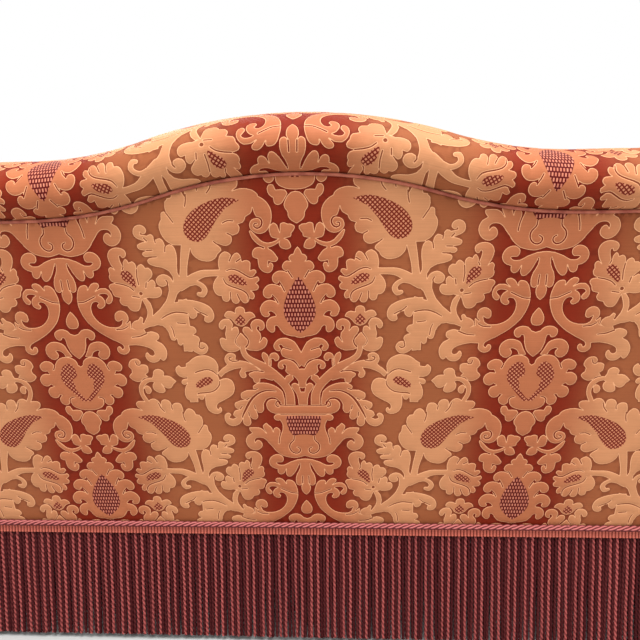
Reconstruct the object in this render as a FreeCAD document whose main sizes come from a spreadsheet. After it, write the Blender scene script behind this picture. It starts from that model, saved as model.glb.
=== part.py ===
"""Camelback sofa with a tight back, rolled arms, three seat cushions and a bullion fringe.

Frame: +Z up, the sitter faces -Y, the outside back faces +Y, origin on the floor under the middle of
the bounding box. Millimetres. "right" is +X, the right-hand side for someone facing the sofa's front.
The back leans: it is drawn upright in its own frame, where x runs across, n points out of the rear
face and s climbs it from the line of the rope, and is then tilted as a whole.
"""
import FreeCAD, Part
import Sketcher
import math
import os
from FreeCAD import Placement, Rotation, Vector

doc = FreeCAD.newDocument("camelback_sofa")
sheet = doc.addObject("Spreadsheet::Sheet", "Dims")

DIMENSIONS = (
    ("half_width", 920, "outside of the arm scroll"),
    ("back_line_y", 278.7, "rear face at the height of the rope"),
    ("base_depth", 722, "front border to rear face at the rope"),
    ("back_lean", 15, "degrees, top towards the rear"),
    ("rope_z", 215, "centre of the rope above the floor"),
    ("crown_s", 574, "rope to back welt at the middle, along the back"),
    ("hump_rise", 57, "hump above the shoulders"),
    ("hump_half", 390, "half the width of the hump"),
    ("shoulder_x", 700, "where the shoulder starts to turn down"),
    ("shoulder_radius", 130, "shoulder, at the back welt"),
    ("roll_height", 80, "top roll above the back welt"),
    ("roll_bulge", 17, "top roll past the rear face"),
    ("back_depth", 152.5, "rear face to the face of the inside back"),
    ("back_crown", 6, "swell of the inside back"),
    ("board", 28, "thickness of the frame boards"),
    ("board_set", 6, "back frame behind the rear face"),
    ("scroll_radius", 85, "arm scroll over its cover"),
    ("scroll_z", 555, "centre of the arm scroll"),
    ("arm_inner_x", 757, "foot of the inside arm"),
    ("arm_outer_x", 860, "outside arm"),
    ("post_inner_x", 775, "inner edge of the arm posts"),
    ("post_outer_x", 850, "outer edge of the arm posts"),
    ("facing_depth", 12, "padded front panel of the arm"),
    ("rail_z", 195, "underside of the seat rails"),
    ("rail_height", 115, "seat rails"),
    ("deck_z", 347, "top of the seat deck"),
    ("cover", 2.5, "upholstery cloth with its lining"),
    ("seat_half", 749, "half the width of the seat between the arms"),
    ("cushion_box", 106, "cushion at its seams"),
    ("cushion_crown", 20, "swell of the cushion's top"),
    ("cushion_gap", 1.5, "between cushions"),
    ("cushion_corner", 26, "corner radius of a cushion"),
    ("cushion_draw", 6, "how far the sides pull in between corners"),
    ("leg_top", 50, "leg, square at the rail"),
    ("leg_foot", 34, "leg, square at the glide"),
    ("leg_x", 805, "corner leg centre"),
    ("leg_inset", 60, "leg centre from the front border"),
    ("glide_height", 7, "nail-on glide"),
    ("bolt_radius", 4, "hanger bolt of a leg"),
    ("block_leg", 80, "corner block along a rail"),
    ("block_height", 40, "corner block"),
    ("spring_wire", 3.8, "seat spring wire"),
    ("back_wire", 3, "back spring wire"),
    ("rope_size", 10.5, "rope diameter"),
    ("gimp_height", 13, "braid band"),
    ("gimp_thick", 2.6, "braid band"),
    ("welt_size", 4.6, "piping diameter"),
    ("fringe_thick", 6, "bullion fringe"),
    ("fringe_hem", 10, "fringe above the floor"),
    ("fringe_top", 193, "fringe under the braid band"),
    ("trim_joint_x", -432, "where the ends of the rope and braid meet"),
)
for row, (alias, value, words) in enumerate(DIMENSIONS, start=1):
    sheet.set(f"A{row}", words)
    sheet.set(f"B{row}", str(value))
    sheet.setAlias(f"B{row}", alias)
doc.recompute()


def dim(alias):
    return float(sheet.get(alias))


BACK_Y = dim("back_line_y")
FRONT_Y = BACK_Y - dim("base_depth")
LEAN = math.radians(dim("back_lean"))
ROPE_Z = dim("rope_z")
CROWN_S = dim("crown_s")
SHOULDER_S = CROWN_S - dim("hump_rise")
SHOULDER_X = dim("shoulder_x")
SHOULDER_R = dim("shoulder_radius")
ROLL = dim("roll_height")
BACK_N = -dim("back_depth")
BOARD = dim("board")
BOARD_N = -dim("board_set")
SCROLL_R = dim("scroll_radius")
SCROLL_X = dim("half_width") - SCROLL_R
SCROLL_Z = dim("scroll_z")
SCROLL_S = (SCROLL_Z - ROPE_Z) / math.cos(LEAN)
ARM_IN = dim("arm_inner_x")
ARM_OUT = dim("arm_outer_x")
POST_IN = dim("post_inner_x")
POST_OUT = dim("post_outer_x")
FACING = dim("facing_depth")
RAIL_Z = dim("rail_z")
RAIL_TOP = RAIL_Z + dim("rail_height")
DECK_Z = dim("deck_z")
COVER = dim("cover")
SEAT_HALF = dim("seat_half")
GLIDE = dim("glide_height")
FRONT_BOARD_Y = FRONT_Y + 3
POST_Y = FRONT_Y + FACING
POST_REAR_Y = POST_Y + BOARD
REAR_BLOCK_Y = BACK_Y - 42
SCROLL_POST_R = SCROLL_R - 25
PAD_N = -62
HEM_S = -24
FOOT_S = (RAIL_Z - ROPE_Z) / math.cos(LEAN)
TACK_S = 150
TACK_TOP_S = 215
TOP_RAIL_S = 425
BACK_PLANE = Placement(Vector(0, BACK_Y, ROPE_Z), Rotation(Vector(1, 0, 0), -dim("back_lean")))

pieces = []


def keep(obj, label):
    """Names a finished sub-part and puts it on the list that is written out."""
    obj.Label = label
    pieces.append(obj)
    return obj


def feature(label, shape, placement=None):
    obj = keep(doc.addObject("Part::Feature", label), label)
    obj.Shape = shape
    if placement is not None:
        obj.Placement = placement
    return obj


def box(label, size, at, final=True):
    """A board bound to the sheet: size and corner are expressions of its cells."""
    obj = doc.addObject("Part::Box", label)
    for prop, words in zip(("Length", "Width", "Height"), size):
        obj.setExpression(prop, words)
    for axis, words in zip("xyz", at):
        obj.setExpression(f".Placement.Base.{axis}", words)
    if final:
        keep(obj, label)
    else:
        obj.Label = label
    return obj


def mirrored(label, source):
    """The same piece on the sofa's other side."""
    obj = doc.addObject("Part::Mirroring", label)
    obj.Source = source
    obj.Base = Vector(0, 0, 0)
    obj.Normal = Vector(1, 0, 0)
    return keep(obj, label)


def pair(label, right):
    """Both sides of a piece as one sub-part of two solids."""
    pieces.remove(right)
    right.Label = label + "_right_side"
    left = mirrored(label + "_left_side", right)
    pieces.remove(left)
    both = doc.addObject("Part::Compound", label)
    both.Links = [right, left]
    return keep(both, label)


def origin_plane(body, role):
    return [f for f in body.Origin.OriginFeatures if f.Role == role][0]


def profile_body(label, edges, thickness, placement):
    """A board cut to an outline: a sketch in the XZ plane, padded towards the front."""
    body = keep(doc.addObject("PartDesign::Body", label), label)
    sketch = body.newObject("Sketcher::SketchObject", label + "_outline")
    sketch.AttachmentSupport = [(origin_plane(body, "XZ_Plane"), "")]
    sketch.MapMode = "FlatFace"
    sketch.addGeometry([flat_curve(e) for e in edges], False)
    pad = body.newObject("PartDesign::Pad", label + "_board")
    pad.Profile = sketch
    pad.setExpression("Length", thickness)
    body.Placement = placement
    return body


def fuse(shapes):
    return shapes[0].multiFuse(shapes[1:]) if len(shapes) > 1 else shapes[0]


# Outlines are lists of edges. A line is its two ends; an arc is its centre, radius and two angles
# in degrees, in the order that the outline runs.
def line(p, q):
    return ("line", p, q)


def arc(centre, radius, a0, a1):
    return ("arc", centre, radius, a0, a1)


def on_circle(centre, radius, angle):
    a = math.radians(angle)
    return (centre[0] + radius * math.cos(a), centre[1] + radius * math.sin(a))


def ends(edge):
    if edge[0] == "line":
        return edge[1], edge[2]
    return on_circle(edge[1], edge[2], edge[3]), on_circle(edge[1], edge[2], edge[4])


def flat_curve(edge):
    """The edge as sketch geometry: sketch x and y are the outline's own."""
    if edge[0] == "line":
        return Part.LineSegment(Vector(*edge[1], 0), Vector(*edge[2], 0))
    _, centre, radius, a0, a1 = edge
    low, high = sorted((math.radians(a0), math.radians(a1)))
    return Part.ArcOfCircle(Part.Circle(Vector(*centre, 0), Vector(0, 0, 1), radius), low, high)


def edge_in(edge, lift):
    """The edge in space, lift being a function from the outline's two coordinates to a point."""
    p, q = ends(edge)
    if edge[0] == "line":
        return Part.LineSegment(lift(*p), lift(*q)).toShape()
    middle = on_circle(edge[1], edge[2], (edge[3] + edge[4]) / 2)
    return Part.Arc(lift(*p), lift(*middle), lift(*q)).toShape()


def wire_in(edges, lift):
    return Part.Wire([edge_in(e, lift) for e in edges])


def flip(edges):
    """The same outline on the other side of x = 0, run the other way."""
    out = []
    for e in reversed(edges):
        if e[0] == "line":
            out.append(line((-e[2][0], e[2][1]), (-e[1][0], e[1][1])))
        else:
            out.append(arc((-e[1][0], e[1][1]), e[2], 180 - e[4], 180 - e[3]))
    return out


def joined(edges):
    """Closes the small steps of an outline with straight lines, and the last end to the first."""
    out = []
    for e, after in zip(edges, edges[1:] + edges[:1]):
        out.append(e)
        a, b = ends(e)[1], ends(after)[0]
        if math.dist(a, b) > 1e-6:
            out.append(line(a, b))
    return out


def in_back(n):
    """Lifts outline coordinates (x, s) to the plane at n in the frame of the back."""
    return lambda x, s: Vector(x, n, s)


def slab(edges, n0, n1):
    """A closed outline in the back's frame, as a solid from n0 to n1."""
    face = Part.Face(wire_in(joined(edges), in_back(n0)))
    return face.extrude(Vector(0, n1 - n0, 0))


def tube(edges, lift, radius):
    """A round tube along lines and tangent arcs."""
    path = wire_in(edges, lift)
    start = path.OrderedEdges[0]
    p = start.valueAt(start.FirstParameter)
    q = start.valueAt(start.LastParameter)
    aim = start.tangentAt(start.FirstParameter)
    if (p - lift(*ends(edges[0])[0])).Length > 1e-3:
        p, aim = q, start.tangentAt(start.LastParameter).negative()
    ring = Part.Wire([Part.Circle(p, aim, radius).toShape()])
    return path.makePipeShell([ring], True, False)


# The camel line of the back, as tangent arcs, d outside the line of the back welt.
HUMP_HALF = dim("hump_half")
HUMP_TURN = 2 * math.degrees(math.atan(dim("hump_rise") / HUMP_HALF))
HUMP_R = HUMP_HALF / (2 * math.sin(math.radians(HUMP_TURN)))
SHOULDER_C = (SHOULDER_X, SHOULDER_S - SHOULDER_R)
SCROLL_C = (SCROLL_X, SCROLL_S)
EASE = 14


def tangent_circle(c0, r0, c1, r1, radius, left):
    """Centre of the circle that touches two others from outside, on the left of c0 to c1 or not."""
    gap = math.dist(c0, c1)
    d0, d1 = r0 + radius, r1 + radius
    along = (d0 * d0 - d1 * d1 + gap * gap) / (2 * gap)
    off = math.sqrt(d0 * d0 - along * along) * (1 if left else -1)
    ux, uy = (c1[0] - c0[0]) / gap, (c1[1] - c0[1]) / gap
    return (c0[0] + along * ux - off * uy, c0[1] + along * uy + off * ux)


def bearing(a, b):
    return math.degrees(math.atan2(b[1] - a[1], b[0] - a[0]))


def camel_edges(d=0, turn=90):
    """From the middle of the hump to turn degrees down the right shoulder."""
    return [
        arc((0, CROWN_S - HUMP_R), HUMP_R + d, 90, 90 - HUMP_TURN),
        arc((HUMP_HALF, SHOULDER_S + HUMP_R), HUMP_R - d, 270 - HUMP_TURN, 270),
        line((HUMP_HALF, SHOULDER_S + d), (SHOULDER_X, SHOULDER_S + d)),
        arc(SHOULDER_C, SHOULDER_R + d, 90, 90 - turn),
    ]


def scroll_foot(centre, side_x, ease, d):
    """The scroll's underside run into the upright side below it: scroll's end angle and the ease."""
    across = side_x + ease - centre[0]
    drop = math.sqrt((SCROLL_R + ease) ** 2 - across ** 2)
    ease_c = (side_x + ease, centre[1] - drop)
    leave = bearing(centre, ease_c)
    return leave, arc(ease_c, ease - d, leave + 180, 180), (side_x + d, ease_c[1])


def back_edges(d=0, foot=HEM_S):
    """The whole right half of the outside back: camel line, arm scroll, side and down to the foot."""
    notch = tangent_circle(SHOULDER_C, SHOULDER_R, SCROLL_C, SCROLL_R, EASE, True)
    turn = 90 - bearing(SHOULDER_C, notch)
    arrive = bearing(SCROLL_C, notch)
    leave, ease, side = scroll_foot(SCROLL_C, ARM_OUT, EASE, d)
    return camel_edges(d, turn) + [
        arc(notch, EASE - d, bearing(notch, SHOULDER_C), bearing(notch, SCROLL_C)),
        arc(SCROLL_C, SCROLL_R + d, arrive, leave),
        ease,
        line(side, (side[0], foot)),
    ]


def both_halves(edges):
    return flip(edges) + edges


def arm_edges(inset, foot_z):
    """Inside arm, scroll and its underside, inset from the face of the cover, in x and z."""
    centre = (SCROLL_X, SCROLL_Z)
    leave, ease, side = scroll_foot(centre, ARM_OUT, EASE, -inset)
    return [
        line((ARM_IN + inset, foot_z), (SCROLL_X - SCROLL_R + inset, SCROLL_Z)),
        arc(centre, SCROLL_R - inset, 180, leave),
        ease,
    ], side


def in_arm(y):
    return lambda x, z: Vector(x, y, z)


def behind_back(n):
    """A block that fills all the space to the rear of the plane at n in the back's frame."""
    block = Part.makeBox(3000, 1000, 3000, Vector(-1500, n, -1500))
    block.Placement = BACK_PLANE
    return block


def arm_band(label, outer, inner, foot_z, rear_n):
    """Cloth or padding wrapped over the arm: the space between two insets of its outline."""
    out, _ = arm_edges(outer, foot_z)
    into, _ = arm_edges(inner, foot_z)
    back = []
    for e in reversed(into):
        back.append(line(e[2], e[1]) if e[0] == "line" else arc(e[1], e[2], e[4], e[3]))
    face = Part.Face(wire_in(joined(out + back), in_arm(POST_Y)))
    solid = face.extrude(Vector(0, 800, 0)).cut(behind_back(rear_n))
    return feature(label + "_right", solid)


def arm_envelope():
    out, side = arm_edges(0, RAIL_Z)
    edges = joined(out + [line(side, (side[0], RAIL_Z))])
    face = Part.Face(wire_in(edges, in_arm(FRONT_Y)))
    solid = face.extrude(Vector(0, 900, 0))
    return fuse([solid, solid.mirror(Vector(0, 0, 0), Vector(1, 0, 0))])


AT = "Dims.back_line_y - Dims.base_depth"


# Corner blocks, legs and what holds them.
LEG_SPOTS = [
    (side * dim("leg_x"), y)
    for side in (-1, 1)
    for y in (FRONT_Y + dim("leg_inset"), REAR_BLOCK_Y - 20)
]
CENTRE_SPOTS = [(0, FRONT_Y + dim("leg_inset")), (0, REAR_BLOCK_Y - 20)]
BOLT_R = dim("bolt_radius")
BOLT_FOOT = 120
BOLT_HEAD = RAIL_Z + 35
BOLT_PLAY = 0.2
SIDE_RAIL_X = POST_OUT + 6 - BOARD


def pin(radius, x, y, z0, z1):
    return Part.makeCylinder(radius, z1 - z0, Vector(x, y, z0))


def bolt_holes(spots):
    return fuse([pin(BOLT_R + BOLT_PLAY, x, y, BOLT_FOOT - 2, BOLT_HEAD + 1) for x, y in spots])


def corner_block_screws():
    """Two wood screws in each corner block: one into the side rail and one along the sofa's depth."""
    shank, head, length = 2.4, 4.6, 62
    solids = []
    for side in (-1, 1):
        for y0, way in ((POST_REAR_Y, 1), (REAR_BLOCK_Y, -1)):
            for aim, at in (
                (Vector(side, 0, 0), Vector(side * (SIDE_RAIL_X - 42), y0 + way * 24, RAIL_Z + 14)),
                (Vector(0, -way, 0), Vector(side * (SIDE_RAIL_X - 42), y0 + way * 40, RAIL_Z + 27)),
            ):
                body = Part.makeCylinder(shank, length, at, aim)
                cap = Part.makeCone(head, shank, 3, at, aim)
                solids.append(body.fuse(cap))
    return feature("corner_block_screws", Part.makeCompound(solids))


def corner_blocks(screws):
    leg, height = dim("block_leg"), dim("block_height")
    solids = []
    for side in (-1, 1):
        for y0, way in ((POST_REAR_Y, 1), (REAR_BLOCK_Y, -1)):
            x0 = side * SIDE_RAIL_X
            corners = [
                Vector(x0, y0, RAIL_Z),
                Vector(x0 - side * leg, y0, RAIL_Z),
                Vector(x0, y0 + way * leg, RAIL_Z),
            ]
            face = Part.Face(Part.makePolygon(corners + corners[:1]))
            solids.append(face.extrude(Vector(0, 0, height)))
    holes = bolt_holes(LEG_SPOTS)
    return feature("corner_blocks", Part.makeCompound([s.cut(holes).cut(screws.Shape) for s in solids]))


def square_leg(label, x, y):
    """A tapered leg: one square lofted to a smaller one, bored from above for its bolt."""
    body = keep(doc.addObject("PartDesign::Body", label), label)
    sketches = []
    for end, width, lift in (("top", "leg_top", RAIL_Z), ("foot", "leg_foot", GLIDE)):
        sketch = body.newObject("Sketcher::SketchObject", f"{label}_{end}")
        sketch.AttachmentSupport = [(origin_plane(body, "XY_Plane"), "")]
        sketch.MapMode = "FlatFace"
        sketch.AttachmentOffset = Placement(Vector(0, 0, lift), Rotation())
        half = dim(width) / 2
        corners = [(-half, -half), (half, -half), (half, half), (-half, half)]
        for i, p in enumerate(corners):
            sketch.addGeometry(flat_curve(line(p, corners[(i + 1) % 4])), False)
        for i in range(4):
            sketch.addConstraint(Sketcher.Constraint("Coincident", i, 2, (i + 1) % 4, 1))
        for i, kind in enumerate(("Horizontal", "Vertical", "Horizontal", "Vertical")):
            sketch.addConstraint(Sketcher.Constraint(kind, i))
        sketch.addConstraint(Sketcher.Constraint("Symmetric", 0, 1, 2, 1, -1, 1))
        across = sketch.addConstraint(Sketcher.Constraint("DistanceX", 0, 1, 0, 2, dim(width)))
        along = sketch.addConstraint(Sketcher.Constraint("DistanceY", 1, 1, 1, 2, dim(width)))
        sketch.setExpression(f"Constraints[{across}]", f"Dims.{width}")
        sketch.setExpression(f"Constraints[{along}]", f"Dims.{width}")
        sketches.append(sketch)
    loft = body.newObject("PartDesign::AdditiveLoft", label + "_taper")
    loft.Profile = sketches[0]
    loft.Sections = [sketches[1]]
    bore = body.newObject("Sketcher::SketchObject", label + "_bore")
    bore.AttachmentSupport = [(origin_plane(body, "XY_Plane"), "")]
    bore.MapMode = "FlatFace"
    bore.AttachmentOffset = Placement(Vector(0, 0, RAIL_Z), Rotation())
    bore.addGeometry(Part.Circle(Vector(0, 0, 0), Vector(0, 0, 1), BOLT_R + BOLT_PLAY), False)
    pocket = body.newObject("PartDesign::Pocket", label + "_bolt_hole")
    pocket.Profile = bore
    pocket.Length = RAIL_Z - BOLT_FOOT + 2
    body.Placement = Placement(Vector(x, y, 0), Rotation())
    return body


def legs():
    names = ("front_leg_left", "rear_leg_left", "front_leg_right", "rear_leg_right")
    for name, (x, y) in zip(names, LEG_SPOTS):
        square_leg(name, x, y)
    for name, (x, y) in zip(("front_leg_centre", "rear_leg_centre"), CENTRE_SPOTS):
        square_leg(name, x, y)
    spots = LEG_SPOTS + CENTRE_SPOTS
    bolts = [pin(BOLT_R, x, y, BOLT_FOOT, BOLT_HEAD) for x, y in spots]
    feature("leg_bolts", Part.makeCompound(bolts))
    glide_foot, glide_top = 15, 12
    glides = [Part.makeCone(glide_foot, glide_top, GLIDE, Vector(x, y, 0)) for x, y in spots]
    feature("leg_glides", Part.makeCompound(glides))


# The hardwood frame.
def drilled(label, size, at, tool):
    """A rail with the pilot holes of the corner block screws."""
    blank = box(label + "_blank", size, at, final=False)
    cut = keep(doc.addObject("Part::Cut", label), label)
    cut.Base = blank
    cut.Tool = tool
    return cut


def seat_frame(screws):
    width = "2 * (Dims.post_inner_x - 1)"
    x = "1 - Dims.post_inner_x"
    tall = "Dims.rail_height"
    box("front_seat_rail", (width, "Dims.board", tall), (x, f"{AT} + 3", "Dims.rail_z"))
    box("rear_seat_rail", (width, "Dims.board", tall), (x, "Dims.back_line_y - 42", "Dims.rail_z"))
    deep = f"Dims.base_depth - 42 - Dims.facing_depth - Dims.board"
    y = f"{AT} + Dims.facing_depth + Dims.board"
    at = ("Dims.post_outer_x + 6 - Dims.board", y, "Dims.rail_z")
    pair("side_seat_rails", drilled("side_seat_rail", ("Dims.board", deep, tall), at, screws))
    brace = box(
        "centre_brace_blank",
        ("Dims.board", "Dims.base_depth - 42 - 3 - Dims.board", "90"),
        ("-Dims.board / 2", f"{AT} + 3 + Dims.board", "Dims.rail_z"),
        final=False,
    )
    holes = doc.addObject("Part::Feature", "centre_leg_holes")
    holes.Shape = bolt_holes(CENTRE_SPOTS)
    cut = keep(doc.addObject("Part::Cut", "centre_seat_brace"), "centre_seat_brace")
    cut.Base = brace
    cut.Tool = holes


def scroll_post_edges(centre, foot):
    """A post with a round head on its outer side that carries the arm scroll."""
    reach = POST_OUT - centre[0]
    low = math.degrees(math.asin(reach / SCROLL_POST_R)) - 90
    head = arc(centre, SCROLL_POST_R, low, 180)
    return joined([
        line((POST_IN, foot), (POST_OUT, foot)),
        line((POST_OUT, foot), ends(head)[0]),
        head,
    ])


def arm_frame():
    front = profile_body(
        "arm_front_post",
        scroll_post_edges((SCROLL_X, SCROLL_Z), RAIL_Z),
        "Dims.board",
        Placement(Vector(0, POST_REAR_Y, 0), Rotation()),
    )
    pair("arm_front_posts", front)
    rear = profile_body(
        "arm_rear_post",
        scroll_post_edges(SCROLL_C, FOOT_S),
        "Dims.board",
        BACK_PLANE.multiply(Placement(Vector(0, BOARD_N, 0), Rotation())),
    )
    pair("arm_rear_posts", rear)
    y = f"{AT} + Dims.facing_depth + Dims.board"
    deep = "Dims.base_depth + 57 - Dims.facing_depth - Dims.board"
    top = box("arm_top_rail", ("80", deep, "Dims.board + 4"), ("Dims.half_width - Dims.scroll_radius - 40", y, "Dims.scroll_z + 5"))
    pair("arm_top_rails", top)
    deep = "Dims.base_depth - 1 - Dims.facing_depth - Dims.board"
    tack = box("arm_tack_rail", ("Dims.board", deep, "50"), ("Dims.post_inner_x", y, "Dims.deck_z"))
    pair("arm_tack_rails", tack)


def back_board(label, width, height, x, s):
    """A straight board of the back frame, from its width, its length up the back and its corner."""
    obj = doc.addObject("Part::Box", label)
    obj.setExpression("Length", width)
    obj.setExpression("Width", "Dims.board")
    obj.setExpression("Height", height)
    obj.Placement = BACK_PLANE.multiply(Placement(Vector(x, BOARD_N - BOARD, s), Rotation()))
    return keep(obj, label)


def back_frame():
    post_width, upright_x, edge = 58, 230, SEAT_HALF - 1
    rail = [e for e in camel_edges(-3, turn=90)][:3]
    shoulder_x = edge - SHOULDER_X
    drop = math.degrees(math.asin(shoulder_x / (SHOULDER_R - 3)))
    rail.append(arc(SHOULDER_C, SHOULDER_R - 3, 90, 90 - drop))
    rail.append(line(ends(rail[-1])[1], (edge, TOP_RAIL_S)))
    profile_body(
        "back_top_rail",
        joined(both_halves(rail)),
        "Dims.board",
        BACK_PLANE.multiply(Placement(Vector(0, BOARD_N, 0), Rotation())),
    )
    tall = str(TOP_RAIL_S - FOOT_S)
    post = back_board("back_post", str(post_width), tall, edge - post_width, FOOT_S)
    pair("back_posts", post)
    inner = edge - post_width
    back_board("back_tack_rail", str(2 * inner), str(TACK_TOP_S - TACK_S), -inner, TACK_S)
    upright = back_board("back_upright", str(post_width), str(TOP_RAIL_S - TACK_TOP_S), upright_x, TACK_TOP_S)
    pair("back_uprights", upright)


def shoulder_blocks():
    """Shaped blocks that carry the roll from the top rail out over the arms."""
    arch = arc(SHOULDER_C, SHOULDER_R - 3, 90 - 23, 90 - 57)
    p, q = ends(arch)
    foot = SCROLL_S + SCROLL_R + 3
    edges = [arch, line(q, (q[0], foot)), line((q[0], foot), (p[0], foot)), line((p[0], foot), p)]
    right = slab(edges, BOARD_N - BOARD, BOARD_N)
    left = right.mirror(Vector(0, 0, 0), Vector(1, 0, 0))
    feature("shoulder_blocks", Part.makeCompound([right, left]), BACK_PLANE)


# Springs: wire zigzags of straight runs joined by half turns, and the clips that hold their ends.
def zigzag(runs, reach, half_run, start):
    """Edges of one spring in its own plane: runs across x, stepping along the second axis."""
    pitch = reach / (runs - 1)
    turn = pitch / 2
    edges = []
    for i in range(runs):
        at = start + i * pitch
        side = 1 if i % 2 == 0 else -1
        edges.append(line((-side * half_run, at), (side * half_run, at)))
        if i < runs - 1:
            edges.append(arc((side * half_run, at + turn), turn, -90, 90 if side > 0 else -270))
    return edges


def springs():
    count, runs, half_run = 7, 14, 14
    wire = dim("spring_wire") / 2
    start = FRONT_BOARD_Y + BOARD / 2
    reach = REAR_BLOCK_Y + BOARD / 2 - start
    spacing = 2 * SEAT_HALF / count
    z = RAIL_TOP + 1 + wire
    solids, clips = [], []
    for i in range(count):
        x = (i - (count - 1) / 2) * spacing
        solids.append(tube(zigzag(runs, reach, half_run, start), lambda a, b: Vector(x + a, b, z), wire))
        for y in (start, start + reach):
            clip = Part.makeBox(20, 14, 6.5, Vector(x - 10, y - 7, RAIL_TOP))
            clips.append(clip.cut(Part.makeCylinder(wire + 0.15, 30, Vector(x - 15, y, z), Vector(1, 0, 0))))
    feature("seat_springs", Part.makeCompound(solids))
    feature("spring_clips", Part.makeCompound(clips))
    count, runs, half_run = 5, 7, 16
    wire = dim("back_wire") / 2
    start, reach = TACK_TOP_S - 25, TOP_RAIL_S - TACK_TOP_S + 60
    n = BOARD_N - BOARD - wire - 0.5
    solids = []
    for i in range(count):
        x = (i - (count - 1) / 2) * 270
        solids.append(tube(zigzag(runs, reach, half_run, start), lambda a, b: Vector(x + a, n, b), wire))
    feature("back_springs", Part.makeCompound(solids), BACK_PLANE)


# Padding and covers of the back.
def inside_edges():
    """The inside back, round the arm scrolls and up to the line where the roll begins."""
    foot = (DECK_Z + 4 - ROPE_Z) / math.cos(LEAN) + 6
    notch = tangent_circle(SHOULDER_C, SHOULDER_R, SCROLL_C, SCROLL_R, EASE, True)
    turn = 90 - bearing(SHOULDER_C, notch)
    over = arc(SCROLL_C, SCROLL_R + 1, bearing(SCROLL_C, notch), 175)
    return camel_edges(0, turn) + [over, line((SEAT_HALF, SCROLL_S), (SEAT_HALF, foot))]


def swell_edges(inset):
    """The part of the inside back that swells, between the arms and inset from its edges."""
    edge = SEAT_HALF - inset
    radius = SHOULDER_R - inset
    foot = (DECK_Z + 4 - ROPE_Z) / math.cos(LEAN) + 6 + inset
    drop = math.degrees(math.asin((edge - SHOULDER_X) / radius))
    right = camel_edges(-inset)[:3] + [arc(SHOULDER_C, radius, 90, 90 - drop)]
    return right + [line(ends(right[-1])[1], (edge, foot))]


def inside_swell(skin):
    """The swelling body of the inside back, skin outside the pad."""
    face = BACK_N + COVER - skin
    crown = dim("back_crown")
    base = slab(both_halves(inside_edges()), PAD_N, face)
    steps = ((face, 8), (face - crown * 0.6, 24), (face - crown, 45))
    wires = [wire_in(joined(both_halves(swell_edges(inset))), in_back(n)) for n, inset in steps]
    return base.fuse(Part.makeLoft(wires, True, True)).removeSplitter()


def roll_section(inset):
    """The top roll's section at the middle of the hump: rear undercut, crest and front shoulder."""
    bulge = dim("roll_bulge")
    top = ROLL - inset
    marks = (
        (-6 - inset, 0), (bulge - inset, top * 0.42), (-2 - inset, top * 0.83),
        (-62, top), (BACK_N + 27 + inset, top * 0.78), (BACK_N + 4 + inset, top * 0.45), (BACK_N + inset, 0),
    )
    pts = [Vector(0, n, CROWN_S + r) for n, r in marks]
    return Part.Wire([
        Part.Arc(pts[0], pts[1], pts[2]).toShape(),
        Part.Arc(pts[2], pts[3], pts[4]).toShape(),
        Part.Arc(pts[4], pts[5], pts[6]).toShape(),
        Part.LineSegment(pts[6], pts[0]).toShape(),
    ])


def roll_solid(inset):
    half = camel_edges(0, 88)
    path = wire_in(half, in_back(0))
    right = path.makePipeShell([roll_section(inset)], True, False)
    return fuse([right, right.mirror(Vector(0, 0, 0), Vector(1, 0, 0))])


def back_soft():
    arms = arm_envelope()
    arms.Placement = BACK_PLANE.inverse()
    pad = inside_swell(0)
    skin = inside_swell(COVER)
    feature("inside_back_pad", pad, BACK_PLANE)
    feature("inside_back_cover", skin.cut(pad), BACK_PLANE)
    core = roll_solid(COVER)
    outer = roll_solid(0)
    feature("top_roll_pad", core.cut(arms), BACK_PLANE)
    feature("top_roll_cover", outer.cut(core).cut(arms), BACK_PLANE)
    feature("outside_back_cover", slab(both_halves(back_edges(-2.6)), -COVER, 0), BACK_PLANE)
    edges = both_halves(back_edges(-0.4, foot=HEM_S + 2))
    feature("back_welt", tube(edges, in_back(0.4), dim("welt_size") / 2), BACK_PLANE)
    burlap = [line((-SEAT_HALF, 170), (SEAT_HALF, 170)), line((SEAT_HALF, 170), (SEAT_HALF, 440)),
              line((SEAT_HALF, 440), (-SEAT_HALF, 440)), line((-SEAT_HALF, 440), (-SEAT_HALF, 170))]
    feature("back_burlap", slab(burlap, -44, -42.5), BACK_PLANE)


# Padding and covers of the arms.
def arm_soft():
    pair("arm_pads", arm_band("arm_pad", COVER + 0.2, 19, DECK_Z, -36))
    mirrored("inside_arm_cover_left", arm_band("inside_arm_cover", 0, COVER, DECK_Z, -3))
    _, side = arm_edges(0, DECK_Z)
    panel = Part.makeBox(COVER, 800, side[1] - (RAIL_Z - 3), Vector(ARM_OUT - COVER, POST_Y, RAIL_Z - 3))
    right = feature("outside_arm_cover_right", panel.cut(behind_back(-3)))
    mirrored("outside_arm_cover_left", right)
    out, side = arm_edges(0.5, RAIL_Z - 3)
    foot = (side[0], RAIL_Z - 3)
    edges = joined(out + [line(side, foot)])
    front = profile_body("arm_facing_right", edges, "Dims.facing_depth", Placement(Vector(0, POST_Y, 0), Rotation()))
    mirrored("arm_facing_left", front)
    welt = tube(out + [line(ends(out[-1])[1], foot)], in_arm(FRONT_Y - 1.2), dim("welt_size") / 2)
    pair("arm_facing_welts", feature("arm_facing_welt", welt))


# The seat: burlap, deck padding, deck cloth, front border and cushions.
def face_y(z):
    """The foremost line of the inside back at height z."""
    deep = -BACK_N + dim("back_crown")
    return BACK_Y + (z - ROPE_Z) * math.tan(LEAN) - deep / math.cos(LEAN)


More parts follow.
